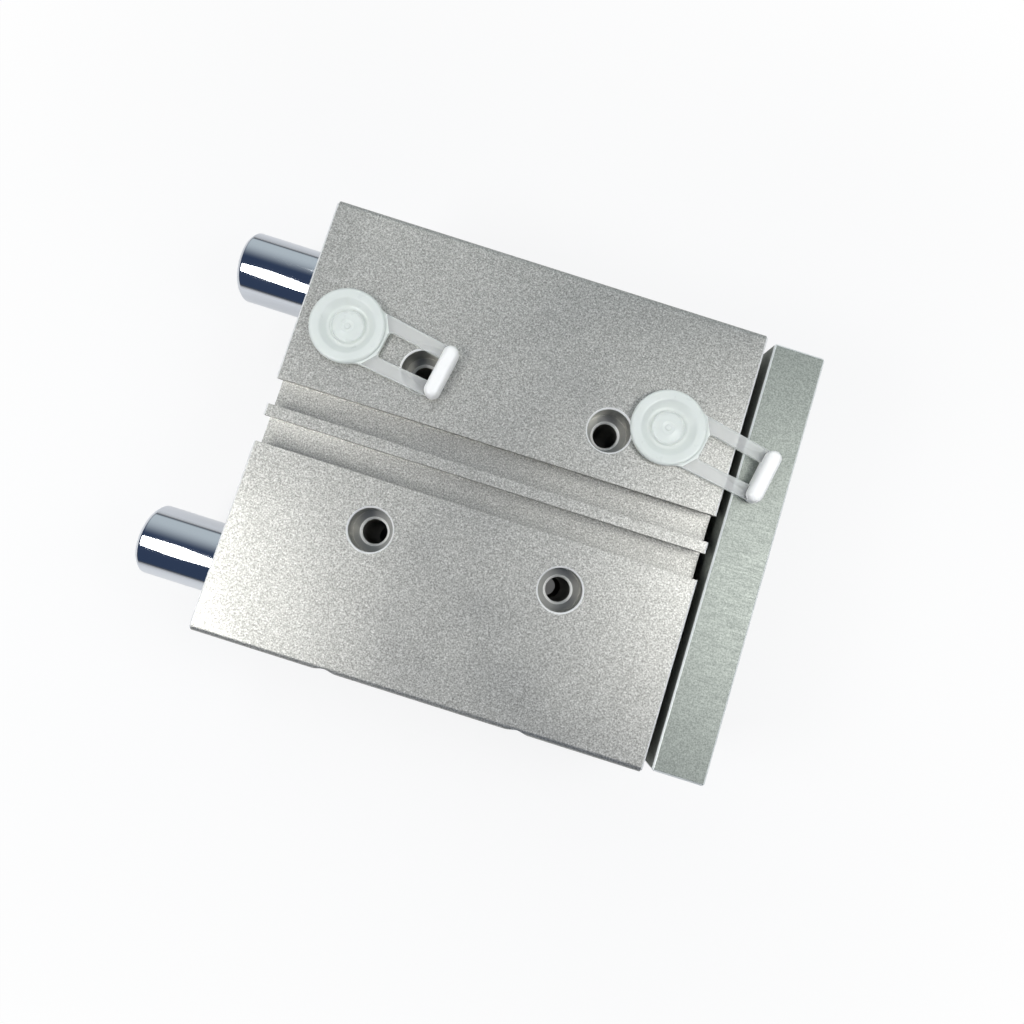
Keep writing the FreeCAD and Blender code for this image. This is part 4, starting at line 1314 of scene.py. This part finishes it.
# Corners of the disc's top, from its middle outwards: the point before the corner, the corner and the
# point after it, as radius and depth below the rim's top, then the round's size and straight pieces.
DISC_TOP: tuple[tuple[Point, Point, Point, float, int], ...] = (
    # the raised mark where the moulding gate was cut off
    ((0.0, 0.8), (0.5, 0.8), (0.62, 0.98), 0.08, 4),
    ((0.5, 0.8), (0.62, 0.98), (1.1, 0.98), 0.08, 4),
    # a fine ring around it
    ((1.1, 0.98), (1.38, 0.76), (1.66, 0.98), 0.16, 4),
    # the lip of the raised middle
    ((1.66, 0.98), (3.1, 0.98), (3.32, 0.7), 0.1, 4),
    ((3.1, 0.98), (3.36, 0.7), (3.62, 1.45), 0.12, 4),
    # the groove around the middle, and the slope from it up to the rim
    ((3.36, 0.7), (3.66, 1.45), (4.2, 1.45), 0.12, 4),
    ((3.66, 1.45), (4.25, 1.45), (5.7, 0.14), 0.35, 6),
    ((4.25, 1.45), (5.7, 0.14), (6.7, 0.0), 0.3, 6),
)


@dataclass
class PortCap:
    """One moulded cap: dished disc on a hollow peg, two straps with a window between, a pull bar.

    Attributes:
        node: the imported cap.
        body: the body that it is.
        centre: the disc's centre on the housing's face, in millimetres like all sizes here.
        turn: the straps' turn from the stroke's direction, in degrees.
        face: height of the housing's front face.
        disc_radius: the disc's radius.
        height: its height over that face.
        disc_steps: faces around it.
        peg_radius: the peg's radius where it leaves the disc.
        peg_length: how deep it reaches into the port.
        peg_wall: its wall.
        peg_taper: how far it narrows towards its end.
        floor: how much of the disc stays over the peg's hollow.
        strap_low: height of the straps' underside.
        strap_high: height of their top.
        strap_ease: width of the round on their edges.
        strap_root: where they begin inside the disc.
        rim_blend: how far the disc's milky section runs into them.
        strap_half: half of the straps' span at the disc.
        tip_half: half of it at the bar.
        strap_width: width of one strap.
        flare_round: radius of the hollow corner between disc and strap.
        window_start: where the window begins.
        window_round: radius of its corners at the disc.
        bar_reach: the bar's middle.
        bar_length: its length across the straps.
        bar_half: half of its thickness.
        bar_top: height of its top.
        bar_round: radius of its top edge.
        bar_ends: straight pieces of each round end.
        bar_levels: levels of the round top edge.
    """

    node: str
    body: Body
    centre: Point
    turn: float
    face: float = 42.0
    disc_radius: float = 7.8
    height: float = 2.0
    disc_steps: int = 112
    peg_radius: float = 4.25
    peg_length: float = 6.5
    peg_wall: float = 1.2
    peg_taper: float = 0.5
    floor: float = 2.0
    strap_low: float = 0.3
    strap_high: float = 1.3
    strap_ease: float = 0.14
    strap_root: float = 6.3
    rim_blend: float = 0.45
    strap_half: float = 5.95
    tip_half: float = 5.55
    strap_width: float = 3.0
    flare_round: float = 3.0
    window_start: float = 8.2
    window_round: float = 1.0
    bar_reach: float = 21.5
    bar_length: float = 11.5
    bar_half: float = 1.6
    bar_top: float = 3.5
    bar_round: float = 1.15
    bar_ends: int = 14
    bar_levels: int = 7

    def build(self) -> None:
        """Make and publish the cap."""
        disc = self.disc()
        self.join(disc, soften(self.straps(), self.strap_ease, SHARP_STRAP))
        self.join(disc, self.bar())
        self.place(disc)
        for finish in (CAP_DISC, CAP_WEB, CAP_BAR):
            disc.data.materials.append(finish.material())
        self.choose_sections(disc)
        shade(disc, SHARP_MOULDED)
        disc.name = f"{self.node}_moulded"
        publish(disc, self.body, [self.node])

    def disc(self) -> Object:
        """The dished disc and its hollow peg, turned about Z.

        Returns:
            The disc.
        """
        top, outside = self.height, self.disc_radius
        peg, end = self.peg_radius, -self.peg_length
        bore = peg - self.peg_wall
        roof = top - self.floor
        section: list[Point] = [(0.0, top - DISC_TOP[0][0][1])]
        for before, corner, after, size, steps in DISC_TOP:
            points = [(radius, top - depth) for radius, depth in (before, corner, after)]
            section += eased(*points, size, steps)
        shoulder, flank, foot = (outside - 0.4, top), (outside, top - 0.4), (outside, 0.6)
        section += eased((5.7, top - 0.14), shoulder, flank, 0.3)
        section += eased(shoulder, flank, foot, 0.2)
        section += eased((outside, top - 0.5), foot, (outside - 0.6, 0.0), 0.3)
        section += [(outside - 0.65, 0.0), (peg, 0.0), (peg, end / 2)]
        section += eased((peg, end / 2), (peg - self.peg_taper, end), (bore, end), 0.2)
        section += [(bore - 0.4, end), (bore, roof - 0.4)]
        section += eased((bore, -2.0), (bore, roof), (0.0, roof), 0.4)
        section += [(0.0, roof)]
        around = [(radius, 0.0, height) for radius, height in section]
        work = spun(around, closed=False, axis=(0.0, 0.0, 1.0), steps=self.disc_steps)
        bmesh.ops.dissolve_degenerate(work, edges=work.edges, dist=WELD)
        return from_bmesh(f"{self.node}_disc", work)

    def straps(self) -> Object:
        """The flat web, flared where it leaves the disc, with a round-cornered window.

        Returns:
            The web.
        """
        half, tip, flare = self.strap_half, self.tip_half, self.flare_round
        level = math.sqrt((self.disc_radius + flare) ** 2 - (half + flare) ** 2)
        first = math.atan2(-half - flare, level) + math.pi
        last = math.pi / 2
        steps = 8
        edge: list[Point] = [(self.strap_root, 0.0)]
        for step in range(steps + 1):
            angle = first + (last - first) * step / steps
            edge.append((level + flare * math.cos(angle), -half - flare + flare * math.sin(angle)))
        edge.append((self.bar_reach, -tip))
        outline = edge + [(x, -y) for x, y in reversed(edge[1:])]
        return self.slab(f"{self.node}_straps", [outline, self.window()])

    def window(self) -> list[Point]:
        """Outline of the window, with round corners on the disc's side.

        Returns:
            The outline's points.
        """
        low = self.window_start
        high = self.bar_reach
        near = self.strap_half - self.strap_width
        far = self.tip_half - self.strap_width
        points = eased((high, -far), (low, -near), (low, near), self.window_round, 6)
        points += eased((low, -near), (low, near), (high, far), self.window_round, 6)
        return points + [(high, far), (high, -far)]

    def bar(self) -> Object:
        """The upright pull bar: round ends, and a top edge rounded all the way along.

        Returns:
            The bar.
        """
        levels = [(self.strap_low, self.bar_half), (self.bar_top - self.bar_round, self.bar_half)]
        for step in range(1, self.bar_levels + 1):
            angle = math.pi / 2 * step / self.bar_levels
            rise = self.bar_round * (1 - math.sin(angle))
            inset = self.bar_round * (1 - math.cos(angle))
            levels.append((self.bar_top - rise, self.bar_half - inset))
        work = bmesh.new()
        loft(work, [self.bar_ring(level, radius) for level, radius in levels])
        return from_bmesh(f"{self.node}_bar", work)

    def bar_ring(self, level: float, radius: float) -> list[Place]:
        """One level of the bar: a long ring with round ends.

        Args:
            level: the ring's height in millimetres.
            radius: radius of its ends.

        Returns:
            The points, in order.
        """
        half = self.bar_length / 2 - self.bar_half
        ring = []
        for sign in (1, -1):
            for step in range(self.bar_ends + 1):
                angle = math.pi * step / self.bar_ends
                x = self.bar_reach + sign * radius * math.cos(angle)
                ring.append((x, sign * (half + radius * math.sin(angle)), level))
        return ring

    def slab(self, name: str, outlines: Sequence[Sequence[Point]]) -> Object:
        """A flat plate as thick as the straps; the second and later outlines are windows.

        Args:
            name: the new object's name.
            outlines: closed outlines in millimetres.

        Returns:
            The plate, a closed mesh.
        """
        low, high = self.strap_low, self.strap_high
        work = bmesh.new()
        loops = []
        for outline in outlines:
            verts = [work.verts.new((x * MM, y * MM, low * MM)) for x, y in outline]
            loops += [work.edges.new(pair) for pair in zip(verts, verts[1:] + verts[:1])]
        bmesh.ops.triangle_fill(work, edges=loops, use_beauty=True)
        raised = bmesh.ops.extrude_face_region(work, geom=list(work.faces), use_keep_orig=True)
        verts = [item for item in raised["geom"] if isinstance(item, bmesh.types.BMVert)]
        bmesh.ops.translate(work, verts=verts, vec=(0.0, 0.0, (high - low) * MM))
        return from_bmesh(name, work)

    @staticmethod
    def join(first: Object, second: Object) -> None:
        """Unite the second object with the first and remove it.

        Args:
            first: the object that grows.
            second: the object that goes into it.
        """
        union = first.modifiers.new("union", "BOOLEAN")
        union.operation = "UNION"
        union.solver = "EXACT"
        union.object = second
        with_modifiers(first)
        bpy.data.objects.remove(second)

    def place(self, piece: Object) -> None:
        """Turn the cap and set it on its port, in its mesh.

        Args:
            piece: the cap, made about the origin.
        """
        x, y = self.centre
        move = Matrix.Translation(Vector((x, y, self.face)) * MM)
        piece.data.transform(move @ Matrix.Rotation(math.radians(self.turn), 4, "Z"))
        piece.data.update()

    def choose_sections(self, piece: Object) -> None:
        """Give the web's skins, the bar and the rest, edges included, their own clearness.

        Args:
            piece: the cap in its place.
        """
        x, y = self.centre
        angle = math.radians(self.turn)
        ahead = Vector((math.cos(angle), math.sin(angle), 0.0))
        centre = Vector((x, y, self.face))
        # A skin of the web faces up or down by this share, and the bar begins this far into the web.
        level, overlap = 0.9, 0.05
        for face in piece.data.polygons:
            away = Vector(face.center) / MM - centre
            along = away.dot(ahead)
            in_web = away.xy.length > self.disc_radius + self.rim_blend and abs(face.normal.z) > level
            section = CapSection.WEB if in_web else CapSection.DISC
            in_bar = along > self.bar_reach - self.bar_half - overlap
            face.material_index = CapSection.BAR if in_bar else section


# -------------------------------------------------------------------------------------- studio


@dataclass
class Lamp:
    """A soft rectangular lamp.

    Attributes:
        name: what it does.
        place: its centre in millimetres.
        target: what it points at, in millimetres.
        size: width and height in millimetres.
        power: radiant power in watts.
    """

    name: str
    place: Place
    target: Place
    size: Point
    power: float

    def build(self) -> None:
        """Add the lamp to the scene."""
        light = bpy.data.lights.new(self.name, "AREA")
        light.shape = "RECTANGLE"
        light.size, light.size_y = (side * MM for side in self.size)
        light.energy = self.power
        holder = bpy.data.objects.new(self.name, light)
        holder.location = Vector(self.place) * MM
        away = (Vector(self.place) - Vector(self.target)).normalized()
        holder.rotation_euler = away.to_track_quat("Z", "Y").to_euler()
        bpy.context.scene.collection.objects.link(holder)


@dataclass
class Studio:
    """Floor, lamps, surroundings and camera.

    Attributes:
        eye: the camera's place in millimetres.
        tilt: its turns about X, Y and Z in degrees.
        lens: focal length for a sensor 36 mm wide.
        floor_level: height of the floor in millimetres.
        floor_half: half the side of the sheet of paper that is the floor, in millimetres.
        reach: how far from the block the floor's tones change, its painted shade included, in millimetres.
    """

    eye: Place = (6.106, -17.217, 186.208)
    tilt: Place = (4.640, -1.449, 17.527)
    lens: float = 25.2
    floor_level: float = -0.3
    floor_half: float = 3000.0
    reach: float = 400.0

    def build(self) -> None:
        """Set up everything around the object."""
        bpy.context.scene.view_settings.view_transform = "Standard"
        self.camera()
        self.floor()
        self.surroundings()
        lamps = (
            Lamp("left panel", (-152.0, -86.0, 228.0), (-20.0, -10.0, 40.0), (120.0, 78.0), 0.38),
            Lamp("right panel", (155.0, 12.0, 228.0), (20.0, 0.0, 40.0), (100.0, 120.0), 0.31),
            Lamp("rear panel", (-96.0, 150.0, 300.0), (-30.0, 10.0, 40.0), (76.0, 130.0), 0.09),
        )
        for lamp in lamps:
            lamp.build()

    def camera(self) -> None:
        """A camera that looks down on the front face."""
        data = bpy.data.cameras.new("camera")
        data.sensor_width = 36.0
        data.lens = self.lens
        data.clip_start = 1 * MM
        holder = bpy.data.objects.new("camera", data)
        holder.location = Vector(self.eye) * MM
        holder.rotation_euler = [math.radians(angle) for angle in self.tilt]
        bpy.context.scene.collection.objects.link(holder)
        bpy.context.scene.camera = holder

    def floor(self) -> None:
        """A wide pale floor, painted dark far from the block as shade, that keeps the object's shadow and
        can be looked through from below.
        """
        work = bmesh.new()
        bmesh.ops.create_grid(work, x_segments=2, y_segments=2, size=self.floor_half * MM)
        bmesh.ops.translate(work, verts=work.verts, vec=(0.0, 0.0, self.floor_level * MM))
        mesh = bpy.data.meshes.new("floor")
        work.to_mesh(mesh)
        work.free()
        piece = new_object("floor", mesh)
        made = bpy.data.materials.new("paper, matt white, painted shade far off")
        made.use_nodes = True
        tree = made.node_tree
        tree.nodes.clear()
        # Paper, painted dark from 320 to 400 mm away from the block: painted shade for the unlit room beyond
        # the lit sheet.
        paper_and_painted_shade = self.by_distance(tree, ((0.8, "f2f2f2"), (1.0, "3a3d42")))
        paper = add(tree, "ShaderNodeBsdfDiffuse", {"Color": paper_and_painted_shade}).outputs["BSDF"]
        glow = add(tree, "ShaderNodeEmission", {"Color": linear("ffffff"), "Strength": 1.0}).outputs[0]
        # Chrome shows part of the glow: all of it would blank the rods' edges.
        seen = self.seen_share(tree, mirrors=0.4)
        # None of it under the block, so that no hole shines, and all of it past the shadow.
        away = self.by_distance(tree, ((0.0, "000000"), (0.35, "ffffff"), (0.006, "e8e8e8")))
        share = add(tree, "ShaderNodeMath", {0: seen, 1: away}, operation="MULTIPLY").outputs[0]
        sheet = add(tree, "ShaderNodeMixShader", {0: share, 1: paper, 2: glow}).outputs["Shader"]
        below = add(tree, "ShaderNodeNewGeometry").outputs["Backfacing"]
        clear = add(tree, "ShaderNodeBsdfTransparent").outputs["BSDF"]
        sided = add(tree, "ShaderNodeMixShader", {0: below, 1: sheet, 2: clear}).outputs["Shader"]
        add(tree, "ShaderNodeOutputMaterial", {"Surface": sided})
        piece.data.materials.append(made)

    def by_distance(self, tree: Tree, stops: Sequence[tuple[float, str]]) -> Socket:
        """Let a colour change with the distance from the block's footprint.

        Args:
            tree: the material's tree.
            stops: share of the reach and sRGB hex colour there.

        Returns:
            The colour's socket.
        """
        low, high = box_mm("housing")
        middle, half = (low + high) / 2 * MM, (high - low) / 2 * MM
        away = add(tree, "ShaderNodeTexCoord").outputs["Object"]
        steps = (("SUBTRACT", middle), ("ABSOLUTE", None), ("SUBTRACT", half), ("MAXIMUM", (0.0, 0.0, 0.0)))
        for operation, second in steps:
            inputs = {0: away} if second is None else {0: away, 1: second}
            away = add(tree, "ShaderNodeVectorMath", inputs, operation=operation).outputs["Vector"]
        far = add(tree, "ShaderNodeVectorMath", {0: away}, operation="LENGTH").outputs["Value"]
        share = add(tree, "ShaderNodeMath", {0: far, 1: self.reach * MM}, operation="DIVIDE").outputs[0]
        return with_stops(add(tree, "ShaderNodeValToRGB", {"Fac": share}), stops)

    def seen_share(self, tree: Tree, mirrors: float) -> Socket:
        """How much of the white background a ray shows.

        Args:
            tree: the material's or the world's tree.
            mirrors: share of it in what metal mirrors.

        Returns:
            The share's socket: all for the camera and for what is seen through clear plastic.
        """
        path = add(tree, "ShaderNodeLightPath").outputs
        glossy = {0: path["Is Glossy Ray"], 1: mirrors}
        share = add(tree, "ShaderNodeMath", glossy, operation="MULTIPLY").outputs[0]
        for ray in ("Is Transmission Ray", "Is Camera Ray"):
            share = add(tree, "ShaderNodeMath", {0: path[ray], 1: share}, operation="MAXIMUM").outputs[0]
        return share

    def surroundings(self) -> None:
        """A room: white to the camera, dim and bluish overhead, pale at the back, dark at the skirting."""
        world = bpy.data.worlds.new("room")
        bpy.context.scene.world = world
        world.use_nodes = True
        tree = world.node_tree
        tree.nodes.clear()
        ray = add(tree, "ShaderNodeTexCoord").outputs["Generated"]
        split = add(tree, "ShaderNodeSeparateXYZ", {"Vector": ray}).outputs
        # Overhead dim blue, pale towards the back, then grey down at the skirting.
        room = linear("394761")
        bands = (
            (split["Y"], 0.15, 0.85, room, linear("cbd5db")),
            (split["Z"], 0.0, 0.14, linear("4c525c"), None),
        )
        for value, start, end, first, second in bands:
            limits = {"Value": value, "From Min": start, "From Max": end}
            share = add(tree, "ShaderNodeMapRange", limits, interpolation_type="SMOOTHSTEP").outputs[0]
            colours = {0: share, MIX_FIRST: first, MIX_SECOND: second or room}
            room = add(tree, "ShaderNodeMix", colours, data_type="RGBA").outputs[MIX_RESULT]
        # Mirrors see this room and not the white, which draws the dark bands along the chrome.
        seen = self.seen_share(tree, mirrors=0.0)
        sky = add(tree, "ShaderNodeBackground", {"Color": room, "Strength": 1.0}).outputs[0]
        white = add(tree, "ShaderNodeBackground", {"Color": linear("ffffff"), "Strength": 1.0}).outputs[0]
        mixed = add(tree, "ShaderNodeMixShader", {0: seen, 1: sky, 2: white})
        add(tree, "ShaderNodeOutputWorld", {"Surface": mixed.outputs["Shader"]})


def main() -> None:
    """Build every piece in order."""
    logging.basicConfig(level=logging.INFO, format="%(message)s")
    threads = thread_tree()
    knurls = knurl_tree()
    Housing().build(threads)
    Yoke().build(threads, knurls)
    PortCap("port_cap_rear", Body.REAR_CAP, (-37.3, 21.0), -9.2).build()
    PortCap("port_cap_front", Body.FRONT_CAP, (31.2, 21.0), -10.5).build()
    Studio().build()


if __name__ == "__main__":
    main()
